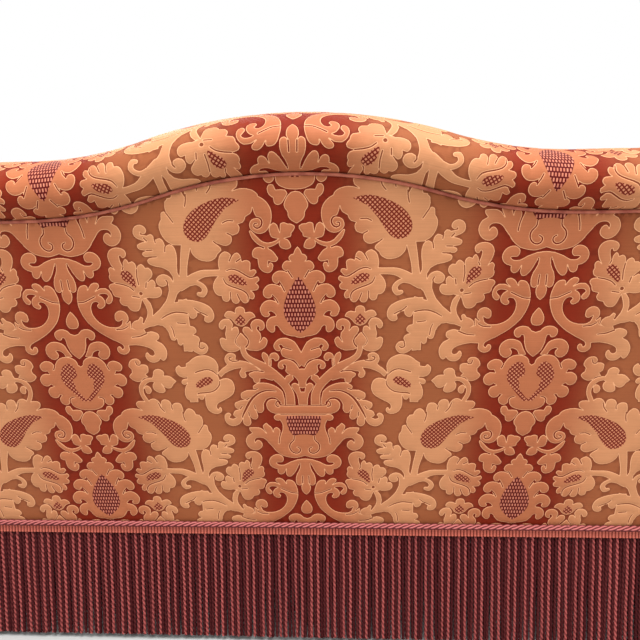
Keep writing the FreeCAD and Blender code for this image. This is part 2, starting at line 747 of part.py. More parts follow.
def seat_soft():
    edge_r = 13
    burlap_z = RAIL_TOP + 7
    wide = 2 * SEAT_HALF
    box("seat_burlap", (str(wide), "Dims.base_depth - 50", "1.5"),
        (str(-SEAT_HALF), f"{AT} + 5", str(burlap_z)))
    pad_z = burlap_z + 2
    deck_y = FRONT_Y + 2 * edge_r + COVER + 3
    deck_end = face_y(DECK_Z) + 20
    box("seat_deck_pad", (str(wide), str(deck_end - deck_y), str(DECK_Z - COVER - pad_z)),
        (str(-SEAT_HALF), str(deck_y), str(pad_z)))
    roll_z = DECK_Z - COVER - edge_r
    roll_y = FRONT_Y + COVER + edge_r + 0.3
    feature("front_edge_roll", Part.makeCylinder(edge_r - 0.3, wide, Vector(-SEAT_HALF, roll_y, roll_z), Vector(1, 0, 0)))
    out_r, in_r = edge_r + COVER, edge_r
    centre = (roll_y, roll_z)
    foot_z = RAIL_Z - 3
    outer = [line((roll_y - out_r, foot_z), (roll_y - out_r, roll_z)), arc(centre, out_r, 180, 90)]
    inner = [arc(centre, in_r, 90, 180), line((roll_y - in_r, roll_z), (roll_y - in_r, foot_z))]
    edges = joined(outer + inner)
    face = Part.Face(wire_in(edges, lambda y, z: Vector(-SEAT_HALF, y, z)))
    feature("front_border_cover", face.extrude(Vector(wide, 0, 0)))
    box("seat_deck_cover", (str(wide), str(deck_end - roll_y), "Dims.cover"),
        (str(-SEAT_HALF), str(roll_y), "Dims.deck_z - Dims.cover"))


def cushion_plan(x0, x1, y0, y1, corner, draw, lift):
    """A rounded rectangle whose sides draw in between its corners, as tangent arcs."""
    cx, cy = (x0 + x1) / 2, (y0 + y1) / 2
    a, b = (x1 - x0) / 2 - corner, (y1 - y0) / 2 - corner
    reach_x, reach_y = (a * a - draw * draw) / (2 * draw), (b * b - draw * draw) / (2 * draw)
    edges = []
    ru, rv = reach_x + draw - corner, reach_y + draw - corner
    corners = ((a, b), (-a, b), (-a, -b), (a, -b))
    top_c, left_c, foot_c, right_c = (0, b + reach_x), (-a - reach_y, 0), (0, -b - reach_x), (a + reach_y, 0)
    before = (right_c, top_c, left_c, foot_c)
    after = (top_c, left_c, foot_c, right_c)
    radii = (ru, rv, ru, rv)
    for i, c in enumerate(corners):
        a0, a1 = bearing(c, before[i]), bearing(c, after[i])
        while a1 < a0:
            a1 += 360
        edges.append(arc(c, corner, a0, a1))
        nxt = corners[(i + 1) % 4]
        s0, s1 = bearing(after[i], c), bearing(after[i], nxt)
        while s1 > s0:
            s1 -= 360
        edges.append(arc(after[i], radii[i], s0, s1))
    moved = [arc((cx + e[1][0], cy + e[1][1]), e[2], e[3], e[4]) for e in edges]
    return wire_in(moved, lift), moved


def cushion_solid(x0, x1, inset):
    thick, crown = dim("cushion_box"), dim("cushion_crown")
    corner, draw = dim("cushion_corner"), dim("cushion_draw")
    base_z = DECK_Z + 1
    steps = (
        (0, 7), (5, 1), (13, 0), (thick - 13, 0), (thick - 5, 1), (thick, 6),
        (thick + crown * 0.45, 48), (thick + crown * 0.8, 105), (thick + crown, 185),
    )
    wires = []
    for height, pull in steps:
        z = base_z + min(max(height, inset), thick + crown - inset)
        e = pull + inset
        y0 = FRONT_Y + 1 + e
        y1 = face_y(min(z, base_z + thick)) - 2 - e
        wires.append(cushion_plan(x0 + e, x1 - e, y0, y1, corner, draw, lambda x, y: Vector(x, y, z))[0])
    return Part.makeLoft(wires, True, True)


def cushion_welts(x0, x1):
    """Piping round the top and bottom seams of one cushion."""
    corner, draw, radius = dim("cushion_corner"), dim("cushion_draw"), dim("welt_size") / 2
    solids = []
    for height in (3, dim("cushion_box") - 3):
        z = DECK_Z + 1 + height
        _, edges = cushion_plan(
            x0 + 2, x1 - 2, FRONT_Y + 3, face_y(z) - 4, corner, draw, lambda x, y: Vector(x, y, z)
        )
        solids.append(tube(edges, lambda x, y: Vector(x, y, z), radius))
    return solids


def cushions():
    names = ("left", "centre", "right")
    width = 2 * SEAT_HALF / len(names)
    gap = dim("cushion_gap") / 2
    cores, welts = [], []
    for i, name in enumerate(names):
        x0 = -SEAT_HALF + i * width + gap
        x1 = x0 + width - 2 * gap
        core = cushion_solid(x0, x1, COVER)
        cores.append(core)
        feature(f"seat_cushion_cover_{name}", cushion_solid(x0, x1, 0).cut(core))
        welts += cushion_welts(x0, x1)
    feature("seat_cushion_cores", Part.makeCompound(cores))
    feature("seat_cushion_welts", Part.makeCompound(welts))


# Trims round the base: rope, braid band and fringe.
def base_loop(out, corner, joint_gap):
    """An open loop round the base, out from its faces, that starts and ends at the trims' joint."""
    x1, y0, y1 = ARM_OUT + out, FRONT_Y - out, BACK_Y + out
    cx, cy0, cy1 = x1 - corner, y0 + corner, y1 - corner
    joint = dim("trim_joint_x")
    return [
        line((joint + joint_gap / 2, y1), (cx, y1)),
        arc((cx, cy1), corner, 90, 0),
        line((x1, cy1), (x1, cy0)),
        arc((cx, cy0), corner, 0, -90),
        line((cx, y0), (-cx, y0)),
        arc((-cx, cy0), corner, -90, -180),
        line((-x1, cy0), (-x1, cy1)),
        arc((-cx, cy1), corner, -180, -270),
        line((-cx, y1), (joint - joint_gap / 2, y1)),
    ]


def trims():
    rope_r = dim("rope_size") / 2
    feature("rope_cord", tube(base_loop(rope_r, 16, 0.6), lambda x, y: Vector(x, y, ROPE_Z), rope_r))
    thick = dim("gimp_thick")
    top = ROPE_Z - rope_r - 0.3
    foot = top - dim("gimp_height")
    outer = base_loop(thick, 14, 0.6)
    inner = base_loop(0, 14 - thick, 0.6)
    back = [line(e[2], e[1]) if e[0] == "line" else arc(e[1], e[2], e[4], e[3]) for e in reversed(inner)]
    face = Part.Face(wire_in(joined(outer + back), lambda x, y: Vector(x, y, foot)))
    feature("gimp_band", face.extrude(Vector(0, 0, foot - top).negative()))
    size, half = "Dims.fringe_thick", "Dims.fringe_thick / 2"
    tall = "Dims.fringe_top - Dims.fringe_hem"
    wide = "2 * Dims.arm_outer_x"
    box("fringe_rear", (wide, size, tall), ("-Dims.arm_outer_x", "Dims.back_line_y - 2 - Dims.fringe_thick", "Dims.fringe_hem"))
    box("fringe_front", (wide, size, tall), ("-Dims.arm_outer_x", f"{AT} - 2", "Dims.fringe_hem"))
    deep = "Dims.base_depth - 2 * Dims.fringe_thick"
    y = f"{AT} - 2 + Dims.fringe_thick"
    box("fringe_right", (size, deep, tall), ("Dims.arm_outer_x - 4", y, "Dims.fringe_hem"))
    box("fringe_left", (size, deep, tall), ("-Dims.arm_outer_x - 2", y, "Dims.fringe_hem"))


def underside():
    """Dust cloth stretched under the rails, and the tacks round its edge."""
    y = f"{AT} + 6"
    box("dust_cover", ("2 * (Dims.post_outer_x - 1)", "Dims.base_depth - 50", "1"),
        ("1 - Dims.post_outer_x", y, "Dims.rail_z - 1"), final=False)
    cloth = doc.getObject("dust_cover")
    holes = doc.addObject("Part::Feature", "leg_openings")
    half = dim("leg_top") / 2 + 1
    spots = LEG_SPOTS + CENTRE_SPOTS
    holes.Shape = fuse([
        Part.makeBox(2 * half, 2 * half, 20, Vector(x - half, yy - half, RAIL_Z - 10)) for x, yy in spots
    ])
    cloth.Label = "dust_cloth_blank"
    cut = keep(doc.addObject("Part::Cut", "dust_cloth"), "dust_cloth")
    cut.Base = cloth
    cut.Tool = holes
    head, thick, count = 4, 1.2, 14
    tacks = []
    for i in range(count):
        x = (i - (count - 1) / 2) * 112 + 30
        for yy in (FRONT_Y + 17, REAR_BLOCK_Y + BOARD / 2):
            tacks.append(pin(head, x, yy, RAIL_Z - 1 - thick, RAIL_Z - 1))
    for i in range(5):
        yy = FRONT_Y + 140 + i * 110
        for x in (-SIDE_RAIL_X - BOARD / 2, SIDE_RAIL_X + BOARD / 2):
            tacks.append(pin(head, x, yy, RAIL_Z - 1 - thick, RAIL_Z - 1))
    feature("dust_cloth_tacks", Part.makeCompound(tacks))


def write_out():
    """Checks every object and writes each sub-part to its own file."""
    doc.recompute()
    for obj in doc.Objects:
        if "Invalid" in obj.State or "Error" in obj.State:
            raise RuntimeError(f"{obj.Label} is {obj.State}")
    os.makedirs("parts", exist_ok=True)
    for old in os.listdir("parts"):
        os.remove(os.path.join("parts", old))
    low, high = [0, 0, 0], [0, 0, 0]
    for obj in pieces:
        shape = obj.Shape
        if shape.isNull() or not shape.isValid() or shape.Volume <= 0:
            raise RuntimeError(f"{obj.Label} has no sound shape")
        reach = shape.optimalBoundingBox(False)
        low = [min(a, b) for a, b in zip(low, (reach.XMin, reach.YMin, reach.ZMin))]
        high = [max(a, b) for a, b in zip(high, (reach.XMax, reach.YMax, reach.ZMax))]
        shape.exportStep(f"parts/{obj.Label}.step")
        spans = [round(v, 1) for v in (reach.XMin, reach.XMax, reach.YMin, reach.YMax, reach.ZMin, reach.ZMax)]
        print(f"{obj.Label:28s} {shape.Volume / 1e3:9.1f} cm3  solids {len(shape.Solids)} {spans}")
    print(len(pieces), "pieces", [round(v, 2) for v in low], [round(v, 2) for v in high])


block_screws = corner_block_screws()
corner_blocks(block_screws)
legs()
seat_frame(block_screws)
arm_frame()
back_frame()
shoulder_blocks()
springs()
back_soft()
arm_soft()
seat_soft()
cushions()
trims()
underside()
write_out()
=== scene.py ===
import math

import bpy
import numpy as np
from mathutils import Matrix, Vector
from mathutils.geometry import delaunay_2d_cdt


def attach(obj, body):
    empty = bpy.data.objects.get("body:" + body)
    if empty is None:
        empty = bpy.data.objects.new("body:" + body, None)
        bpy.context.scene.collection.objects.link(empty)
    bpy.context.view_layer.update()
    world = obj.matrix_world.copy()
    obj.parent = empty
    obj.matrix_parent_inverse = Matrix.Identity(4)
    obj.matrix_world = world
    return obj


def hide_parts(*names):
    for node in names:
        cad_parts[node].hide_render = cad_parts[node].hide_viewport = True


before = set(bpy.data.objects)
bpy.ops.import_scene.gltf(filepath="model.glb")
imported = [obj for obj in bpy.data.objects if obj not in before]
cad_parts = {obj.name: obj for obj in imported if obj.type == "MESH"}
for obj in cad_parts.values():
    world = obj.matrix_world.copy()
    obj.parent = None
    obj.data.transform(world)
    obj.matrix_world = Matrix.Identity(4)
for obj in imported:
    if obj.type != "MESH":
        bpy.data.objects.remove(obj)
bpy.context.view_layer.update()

# Lengths of the sofa in millimetres, as the CAD model has them.
BACK_Y = 278.7
FRONT_Y = -443.3
ROPE_Z = 215.0
LEAN = math.radians(15)
CROWN_S = 574.0
SHOULDER_S = 517.0
HUMP_HALF = 390.0
HUMP_TURN = 2 * math.degrees(math.atan((CROWN_S - SHOULDER_S) / HUMP_HALF))
HUMP_R = HUMP_HALF / (2 * math.sin(math.radians(HUMP_TURN)))
SHOULDER_C = (700.0, 387.0)
SHOULDER_R = 130.0
SCROLL_R = 85.0
SCROLL_X = 835.0
SCROLL_Z = 555.0
SCROLL_S = (SCROLL_Z - ROPE_Z) / math.cos(LEAN)
ARM_IN = 757.0
ARM_OUT = 860.0
SEAT_HALF = 749.0
RAIL_Z = 195.0
DECK_Z = 347.0
EASE = 14.0
HEM_S = -24.0
BACK_N = -152.5
ROLL = 80.0
BULGE = 17.0
FACING = 12.0


def polar(centre, radius, degrees):
    a = math.radians(degrees)
    return (centre[0] + radius * math.cos(a), centre[1] + radius * math.sin(a))


def bearing(a, b):
    return math.degrees(math.atan2(b[1] - a[1], b[0] - a[0]))


def arc_points(centre, radius, a0, a1, step=3.0):
    """Points along an arc, ends included, about step apart."""
    count = max(2, int(abs(math.radians(a1 - a0)) * radius / step) + 1)
    return [polar(centre, radius, a0 + (a1 - a0) * i / count) for i in range(count + 1)]


def line_points(p, q, step=6.0):
    count = max(1, int(math.dist(p, q) / step))
    return [(p[0] + (q[0] - p[0]) * i / count, p[1] + (q[1] - p[1]) * i / count) for i in range(count + 1)]


def chain(*runs):
    """Runs of points joined end to end, without doubled points."""
    out = []
    for run in runs:
        for p in run:
            if not out or math.dist(p, out[-1]) > 1e-3:
                out.append(p)
    return out


def touching_circle(c0, r0, c1, r1, radius):
    """Centre of the circle that touches two others from outside, on the left of c0 to c1."""
    gap = math.dist(c0, c1)
    d0, d1 = r0 + radius, r1 + radius
    along = (d0 * d0 - d1 * d1 + gap * gap) / (2 * gap)
    off = math.sqrt(d0 * d0 - along * along)
    ux, uy = (c1[0] - c0[0]) / gap, (c1[1] - c0[1]) / gap
    return (c0[0] + along * ux - off * uy, c0[1] + along * uy + off * ux)


def camel_points(d=0.0, turn=90.0, step=3.0):
    """The camel line from the middle of the hump to turn degrees down the shoulder, d further out."""
    return chain(
        arc_points((0, CROWN_S - HUMP_R), HUMP_R + d, 90, 90 - HUMP_TURN, step),
        arc_points((HUMP_HALF, SHOULDER_S + HUMP_R), HUMP_R - d, 270 - HUMP_TURN, 270, step),
        line_points((HUMP_HALF, SHOULDER_S + d), (SHOULDER_C[0], SHOULDER_S + d), step),
        arc_points(SHOULDER_C, SHOULDER_R + d, 90, 90 - turn, step),
    )


def scroll_foot(centre, side_x, ease, d):
    across = side_x + ease - centre[0]
    drop = math.sqrt((SCROLL_R + ease) ** 2 - across ** 2)
    ease_c = (side_x + ease, centre[1] - drop)
    leave = bearing(centre, ease_c)
    return leave, arc_points(ease_c, ease - d, leave + 180, 180, 1.5), (side_x + d, ease_c[1])


NOTCH = touching_circle(SHOULDER_C, SHOULDER_R, (SCROLL_X, SCROLL_S), SCROLL_R, EASE)


def back_points(d=0.0, foot=HEM_S):
    """Right half of the outside back: camel line, arm scroll, side, down to the foot."""
    scroll_c = (SCROLL_X, SCROLL_S)
    leave, ease, side = scroll_foot(scroll_c, ARM_OUT, EASE, d)
    return chain(
        camel_points(d, 90 - bearing(SHOULDER_C, NOTCH)),
        arc_points(NOTCH, EASE - d, bearing(NOTCH, SHOULDER_C) + 360, bearing(NOTCH, scroll_c) + 360, 1.5),
        arc_points(scroll_c, SCROLL_R + d, bearing(scroll_c, NOTCH), leave),
        ease,
        line_points(side, (side[0], foot)),
    )


def arm_points(inset, foot_z):
    """The arm's section in x and z: inner face, scroll, its underside and the top of the side."""
    centre = (SCROLL_X, SCROLL_Z)
    leave, ease, side = scroll_foot(centre, ARM_OUT, EASE, -inset)
    inner = line_points((ARM_IN + inset, foot_z), (SCROLL_X - SCROLL_R + inset, SCROLL_Z))
    return chain(inner, arc_points(centre, SCROLL_R - inset, 180, leave), ease), side


def in_back(x, n, s):
    """Points of the back's own frame, across, out of the rear face and up it, in the sofa's frame."""
    c, t = math.cos(LEAN), math.sin(LEAN)
    return np.stack([x, BACK_Y + n * c + s * t, ROPE_Z - n * t + s * c], axis=-1)


def turn_back(vectors):
    """Directions of the back's own frame in the sofa's frame."""
    c, t = math.cos(LEAN), math.sin(LEAN)
    x, n, s = vectors[..., 0], vectors[..., 1], vectors[..., 2]
    return np.stack([x, n * c + s * t, -n * t + s * c], axis=-1)


class Track:
    """A line of points that can be read at any distance along it, with its left-hand normal."""

    def __init__(self, points):
        self.p = np.array(points, float)
        gaps = np.linalg.norm(np.diff(self.p, axis=0), axis=1)
        self.t = np.concatenate([[0.0], np.cumsum(gaps)])
        self.length = self.t[-1]
        run = np.gradient(self.p, self.t, axis=0)
        self.run = run / np.linalg.norm(run, axis=1)[:, None]

    def at(self, t):
        return np.stack([np.interp(t, self.t, self.p[:, k]) for k in range(self.p.shape[1])], axis=-1)

    def heading(self, t):
        h = np.stack([np.interp(t, self.t, self.run[:, k]) for k in range(self.p.shape[1])], axis=-1)
        return h / np.linalg.norm(h, axis=-1)[..., None]


# The damask. Everything is drawn in one quarter of the repeat: x from the axis of a column to the
# line half way to the next one, v down the cloth, both in millimetres.
PITCH = 343.0
REPEAT = 669.0
HALF_X = PITCH / 2
HALF_V = REPEAT / 2
GRID_COLS = 230
GRID_ROWS = 893
GRID_X = HALF_X / (GRID_COLS - 1)
GRID_V = REPEAT / (GRID_ROWS - 1)
FAR = 12.0
RIM_WIDTH = 1.2
RELIEF = 0.4


def bulged(points):
    """A closed outline through (x, v, bulge) points: each side bulges out to the left by that share."""
    out = []
    for (x0, v0, b), (x1, v1, _) in zip(points, points[1:] + points[:1]):
        dx, dv = x1 - x0, v1 - v0
        length = math.hypot(dx, dv)
        if abs(b) < 0.02 or length < 0.5:
            out.append((x0, v0))
            continue
        sag = b * length / 2
        radius = (length * length / 4 + sag * sag) / (2 * abs(sag))
        half = 2 * math.atan(abs(b))
        side = 1 if b > 0 else -1
        mx, mv = (x0 + x1) / 2, (v0 + v1) / 2
        lx, lv = dv / length * side, -dx / length * side
        away = radius - abs(sag)
        cx, cv = mx - lx * away, mv - lv * away
        count = max(2, int(2 * half * radius / 1.6))
        ux, uv = dx / length, dv / length
        for i in range(count):
            a = -half + 2 * half * i / count
            out.append((cx + radius * (math.sin(a) * ux + math.cos(a) * lx),
                        cv + radius * (math.sin(a) * uv + math.cos(a) * lv)))
    return out


def smooth(points, closed=False, step=2.0):
    """A soft curve through the points. Any further numbers of a point, such as a width, are eased too."""
    p = np.array(points, float)
    n = len(p)
    out = []
    last = n if closed else n - 1
    for i in range(last):
        a, b = p[(i - 1) % n], p[i]
        c, d = p[(i + 1) % n], p[(i + 2) % n]
        if not closed and i == 0:
            a = 2 * b - c
        if not closed and i == n - 2:
            d = 2 * c - b
        count = max(2, int(math.dist(b[:2], c[:2]) / step))
        for k in range(count):
            t = k / count
            out.append(0.5 * (2 * b + (c - a) * t + (2 * a - 5 * b + 4 * c - d) * t * t
                              + (3 * b - a - 3 * c + d) * t ** 3))
    if not closed:
        out.append(p[-1])
    return [tuple(q) for q in out]


def blob(*points):
    return ("fill", bulged(list(points)))


def stroke(*points):
    """A stem: (x, v, width) points along it."""
    return ("stroke", smooth(list(points)))


def vein(*points):
    """A fine line of ground cut into the figure."""
    return ("cut", smooth([(p[0], p[1], p[2] if len(p) > 2 else 1.7) for p in points]))


def hole(*points):
    return ("hole", bulged(list(points)))


def basket(*points):
    """A part of the figure that is woven as a basket of small dashes."""
    return ("basket", bulged(list(points)))


def lattice(*points):
    """A part of the figure that is woven as a slanting net of dots."""
    return ("lattice", bulged(list(points)))


MOTIFS = [
    # Small leaf with three upper lobes and one below, beside the axis.
    blob((3, 4, .25), (13, 1, .4), (23, 1, 0), (24, 13, 0), (26, 6, .3), (32, -1, .45), (38, 13, .3),
         (34, 20, 0), (24, 22, 0), (26, 28, .35), (20, 35.6, .25), (11, 35, .5), (9, 31, .1), (12, 24, .2),
         (18, 21, 0), (9, 19, .2), (8, 14, .1), (4, 9, .25)),
    # Its crescent stem and the trefoil that hangs from it.
    stroke((23, 21, 3), (31, 27, 5), (42, 30, 6.5), (52, 27, 7), (60, 19, 7), (65, 11, 3.5)),
    stroke((44, 30, 5), (44, 36, 6)),
    blob((45, 34, 0), (48, 35, .3), (60, 34, .35), (64, 46, .25), (57, 49, .05), (56, 61, .3), (44, 70, .4),
         (36, 62, .35), (37, 55.5, .5), (42, 57, -.3), (43, 61, -.1), (42, 52, .15), (33, 54, .35),
         (28, 49, .1), (32, 43, .2), (41, 35, .15)),
    # Pomegranate on the axis, in overlapping lobes round a basket.
    blob((0, 32.5, .15), (6, 43, .35), (13, 48, .5), (8, 53.5, 0), (16, 52.5, .3), (23, 61, .4),
         (16, 67.5, 0), (16, 70, .2), (24, 67, .25), (34, 70, .3), (38, 79, .35), (33, 85.6, .35),
         (28, 83.6, 0), (27, 90, .15), (36, 86.5, .25), (48, 90, .25), (52.5, 101, .35), (46, 107.5, .3),
         (39, 104, 0), (34, 113, .15), (44, 110, .25), (56, 118, .3), (57, 130, .35), (50, 136, .4),
         (44, 132, .2), (46, 129, -.4), (41, 127.6, -.2), (35, 134, 0), (37, 135, .2), (46, 138.5, .25),
         (50.5, 149, .3), (46, 158.5, .35), (40, 160, .25), (37.6, 155, .1), (38, 151, -.4),
         (35, 149.4, -.2), (30, 156, .05), (24, 163, .1), (10, 166.5, 0), (0, 169, 0), (-6, 168, 0),
         (-6, 44, 0)),
    basket((0, 76, .08), (11, 91, .08), (19.5, 107, .08), (23.5, 124, .1), (21.5, 138, .12), (12, 151, .1),
           (0, 161, 0), (-6, 156, 0), (-6, 82, 0)),
    vein((15, 67), (12, 72), (9, 77)),
    vein((28, 83), (24, 90), (21, 97)),
    vein((39, 103), (34, 109), (31, 115)),
    # Great leaf with a volute at its end and a teardrop basket.
    blob((51.6, 630, .15), (60, 623.5, .12), (75, 621.5, .08), (87, 625, 0), (80, 620, .2), (78, 612, .35),
         (86, 608.4, .25), (96, 611, 0), (98, 609, .25), (106, 604, .25), (114, 608, .2), (118, 620, 0),
         (118, 612, .25), (121, 606.5, .3), (131, 607.6, .3), (134, 617, 0), (137, 614, .25),
         (143, 611.5, .25), (150, 614, .15), (151.5, 632, 0), (154, 629, .2), (160, 621.6, .3),
         (168, 624.6, .2), (171.5, 632, 0), (178, 633, 0), (178, 697, 0), (168, 697.5, .05), (160, 696, 0),
         (152, 702, .2), (147, 714, .2), (132, 721, .2), (120, 718.5, .2), (114, 711, 0), (108, 706, .35),
         (112, 699, .1), (116, 694.5, 0), (104, 699, .25), (94, 696, .3), (92.6, 685.6, 0), (84, 683, .25),
         (80, 676, .3), (82, 669.6, 0), (75, 667.4, .2), (70.6, 659.6, 0), (63.6, 655.6, .2), (60, 647, 0),
         (58, 655, 0), (54.5, 661.5, .1), (61, 663, .25), (65.8, 670, .3), (62, 679, .25), (50, 683, .25),
         (39, 675, .15), (34, 657, .15), (38, 643, .15), (51.6, 632, 0)),
    vein((56, 660, 1.2), (50.5, 662, 2), (48, 667, 2.2), (50, 673, 2.2), (55, 675.6, 2), (59.5, 673, 1.8),
         (58.5, 669, 1.6), (55, 669.4, 1.2)),
    lattice((77, 637, .08), (100, 633, .08), (130, 642, .12), (152, 658, .15), (159, 676, .2),
            (152, 690, .15), (138, 693, .12), (127, 686, .05), (113, 665, 0), (97, 647, -.03)),
    vein((88, 665), (96, 664.4), (103, 667.5)),
    vein((114, 612), (117, 621), (122, 627)),
    vein((134, 617), (135, 623)),
    vein((151, 628), (151.6, 636), (153.5, 644)),
    vein((92, 684.8), (98, 681.5)),
    vein((113, 697), (118, 693)),
    stroke((157, 694, 14), (159.5, 705, 13), (163.5, 723, 11), (165, 733, 10.5), (167, 745, 12),
           (172, 755, 14)),
    # Carnation with a lens-shaped basket, and the stems to its right.
    blob((81, 47, .3), (86, 40, .3), (94, 47, 0), (95, 43, .2), (103, 38, .3), (113, 49, .15), (113, 65, 0),
         (116, 74, .15), (124, 86, .2), (122, 99, .3), (113, 103, 0), (112, 109, .4), (104, 111.5, .15),
         (100, 106, 0), (98, 112, .4), (90, 114.5, .3), (87, 108, 0), (83, 113, .4), (76, 113.5, .3),
         (73, 107, 0), (68, 109, .35), (65, 102, .25), (70, 96, 0), (63, 95.5, .4), (58, 90, .3),
         (62, 85, 0), (57, 81, .4), (59, 75, .2), (65, 74.5, 0), (60, 69, .4), (63, 64.4, .2),
         (69, 66.5, 0), (68, 58, .3), (70, 52, .3), (80, 53, 0)),
    stroke((110, 69, 10), (124, 69, 9.5), (138, 70, 11), (150, 75, 13), (160, 81, 14), (173, 88, 15)),
    stroke((158, 84, 8), (149, 83, 7), (141, 87, 7), (137, 94, 8), (141, 101, 8), (146.5, 100, 6)),
    vein((61, 75, 1.3), (70, 76, 2), (78, 71.5, 2), (87, 66, 2), (96, 63.6, 1.8), (103, 66, 1.2)),
    vein((109, 77, 1.2), (105, 85, 2), (97, 89.5, 2), (87, 93, 2), (79, 97, 2), (74.5, 103, 1.8),
         (75, 110, 1.4)),
    lattice((74, 86, .12), (80, 77, .1), (93, 71, .15), (101, 74, .2), (99, 82, .12), (88, 86, 0),
            (78, 88.5, .15)),
    vein((87, 109), (90, 101)),
    vein((100, 107), (100, 98)),
    vein((82, 49), (88, 53)),
    vein((94.5, 45), (98, 52)),
    # Long scrolling leaf that crosses between the columns.
    blob((178, 108, 0), (178, 190, 0), (170, 189, 0), (165, 187.5, .15), (158, 193, .25), (150, 195, .25),
         (142, 189, .3), (142, 180, .3), (150, 175, .2), (155, 178, 0), (152, 171, .3), (156, 165, .2),
         (162, 163.5, 0), (157, 160, .35), (157, 153, .3), (163, 149.5, 0), (168, 147, .1), (166, 141, .3),
         (169, 136, 0), (165, 131, .1), (162, 137, .35), (155, 136, .3), (152, 128.5, 0), (147, 129.5, 0),
         (141, 134, 0), (142.5, 140, .35), (136, 144, .25), (128.5, 139, .2), (127, 130, .2),
         (134, 118, .1), (152, 110.5, .08), (165, 108.4, 0)),
    vein((137, 133), (142, 130), (149, 127), (155, 121.5)),
    vein((153, 177), (154.4, 183), (150, 186), (146.5, 183.4)),
    vein((165, 131.4), (172, 128.5)),
    vein((166, 147), (172, 145.5)),
    # Tulip: blossom, two scrolling sides, bud and stem.
    blob((81, 129, .3), (83, 121, .3), (93, 121, .3), (95, 129.5, 0), (99, 127.4, .2), (107, 126.6, .25),
         (112, 134, .25), (103, 138, -.1), (97, 146, .15), (88, 150.6, .15), (79, 146, -.1), (73, 139, -.1),
         (65.6, 136, .2), (70, 129, .25), (78, 128.4, .1)),
    lattice((88, 131.5, 0), (96, 140, .2), (93, 147, .2), (83, 147, .2), (81, 140, 0)),
    blob((53, 150, .35), (58, 140.5, .25), (68, 140.4, .25), (74, 148.5, .05), (72, 158, 0),
         (76, 152.5, .25), (84, 151.5, .3), (86, 159, .1), (80.5, 167, -.05), (77.5, 174, -.1),
         (80, 181.5, 0), (84, 186, 0), (78, 188.6, .05), (66, 189.5, .12), (54, 183.5, .15), (50, 173, .25),
         (55, 167.4, .4), (58, 170.5, 0), (62.5, 176, 0), (59, 168, 0), (60, 161, -.1), (65, 154, 0),
         (63.5, 150, -.2), (60.5, 151.5, 0), (61.5, 156.5, .35), (55.5, 155.5, .3)),
    blob((93, 152.5, .3), (99, 151, .2), (103, 157, 0), (100, 147, .1), (104, 139.6, .25), (114, 139, .25),
         (121.5, 148, .3), (118, 155, .35), (113.5, 152.5, 0), (112, 148.5, -.3), (110.6, 152, -.05),
         (113, 162, 0), (112, 170.5, 0), (117, 168, .35), (122, 171, .15), (119, 185, .2),
         (108, 191.4, .12), (96, 189.4, .08), (91, 185, 0), (96, 181, -.1), (99.5, 175, -.1),
         (98, 170, -.05), (92, 161, .1)),
    blob((89.6, 160.4, .05), (94, 166, .1), (97.8, 172, .3), (95, 180.5, .2), (89, 184, 0),
         (83, 181.5, .25), (79.6, 174, .25), (83, 168, .1)),
    stroke((88, 182, 8), (87.5, 190, 8.5), (84, 198, 9), (76, 205, 10), (66, 211, 12), (56, 217.5, 14),
           (44, 228, 15), (32, 240, 14), (24, 252, 13), (20, 264, 14), (19.5, 283, 15)),
    # Curls and small leaves on the main stem.
    blob((46, 215, 0), (45.6, 207, 0), (46, 202.5, -.3), (42, 203, 0), (40.5, 206.3, .3), (35.5, 205, .35),
         (34.6, 197, .3), (41, 192.4, .2), (47, 195, .2), (48.5, 201, .05), (49, 213, 0)),
    blob((50, 214, 0), (49.5, 201, .2), (53, 194, .15), (58, 191.6, .2), (60, 197, .2), (57, 206, .05),
         (53, 214, 0)),
    blob((74, 212, 0), (84, 207, .03), (98, 204.5, 0), (101, 203.6, 0), (99.6, 198, .35), (104, 193.6, .25),
         (112, 194, .25), (117.4, 203, .2), (114, 211.5, -.1), (122, 218, .03), (129.6, 226, .1),
         (125, 233, 0), (118, 226, -.05), (104, 219.5, -.03), (92, 217.5, 0), (95, 222.5, .3),
         (95.5, 230, .35), (90, 234.6, .4), (85.6, 230, .1), (87.5, 225.5, -.3), (83, 223.5, 0),
         (70, 222, 0), (60, 224, 0)),
    blob((58, 223, 0), (72, 222.6, .05), (82, 227, .25), (80, 232.5, 0), (76, 235.5, 0), (75, 240.5, .35),
         (69.5, 243, .35), (65, 239.5, .1), (65, 235.6, 0), (58, 235, .05), (46, 239, 0), (40, 232, 0)),
    vein((96, 205.6), (104, 206.8), (110, 204), (110, 200.4), (106.5, 199.5)),
    vein((59, 224), (69, 222.4), (79, 223.5), (83, 228)),
    # Scroll leaves either side of the axis.
    blob((0, 192, 0), (4, 184, .05), (9, 175.6, .1), (20, 169.4, .15), (33, 170.6, .2), (41.4, 181, .25),
         (38, 189, .3), (32, 189.6, .25), (30.6, 185.4, -.2), (33, 181, -.5), (28.6, 180.4, -.1),
         (27, 184, 0), (31, 190, .15), (29, 197.6, .15), (21, 202, .05), (12, 204.6, -.05), (7, 210, -.05),
         (4, 216.6, .1), (0, 213, 0), (-6, 213, 0), (-6, 194, 0)),
    vein((15, 188), (21, 186), (27.5, 184)),
    blob((0, 219, 0), (4, 219.6, 0), (8, 212, .1), (15, 206, .12), (24, 203.6, .2), (34.6, 208, .25),
         (36, 216, .3), (31, 220, .3), (27, 217, .1), (29, 212.6, -.5), (24, 213.6, -.15), (25.4, 223, .15),
         (20, 228.4, .1), (12, 232, -.08), (7, 239, -.05), (4, 249, 0), (0, 252, 0), (-6, 250, 0),
         (-6, 220, 0)),
    blob((13, 236, .15), (15, 231, .2), (21, 229.4, .25), (26, 234, .1), (27, 240, 0), (22, 246, 0),
         (18, 241, 0)),
    blob((3, 258, .05), (5, 248, .15), (10, 243, .3), (16.6, 246, .3), (15, 253, 0), (10, 261, -.03),
         (7.6, 271, 0), (7, 283, 0), (-6, 283, 0), (-6, 258, 0)),
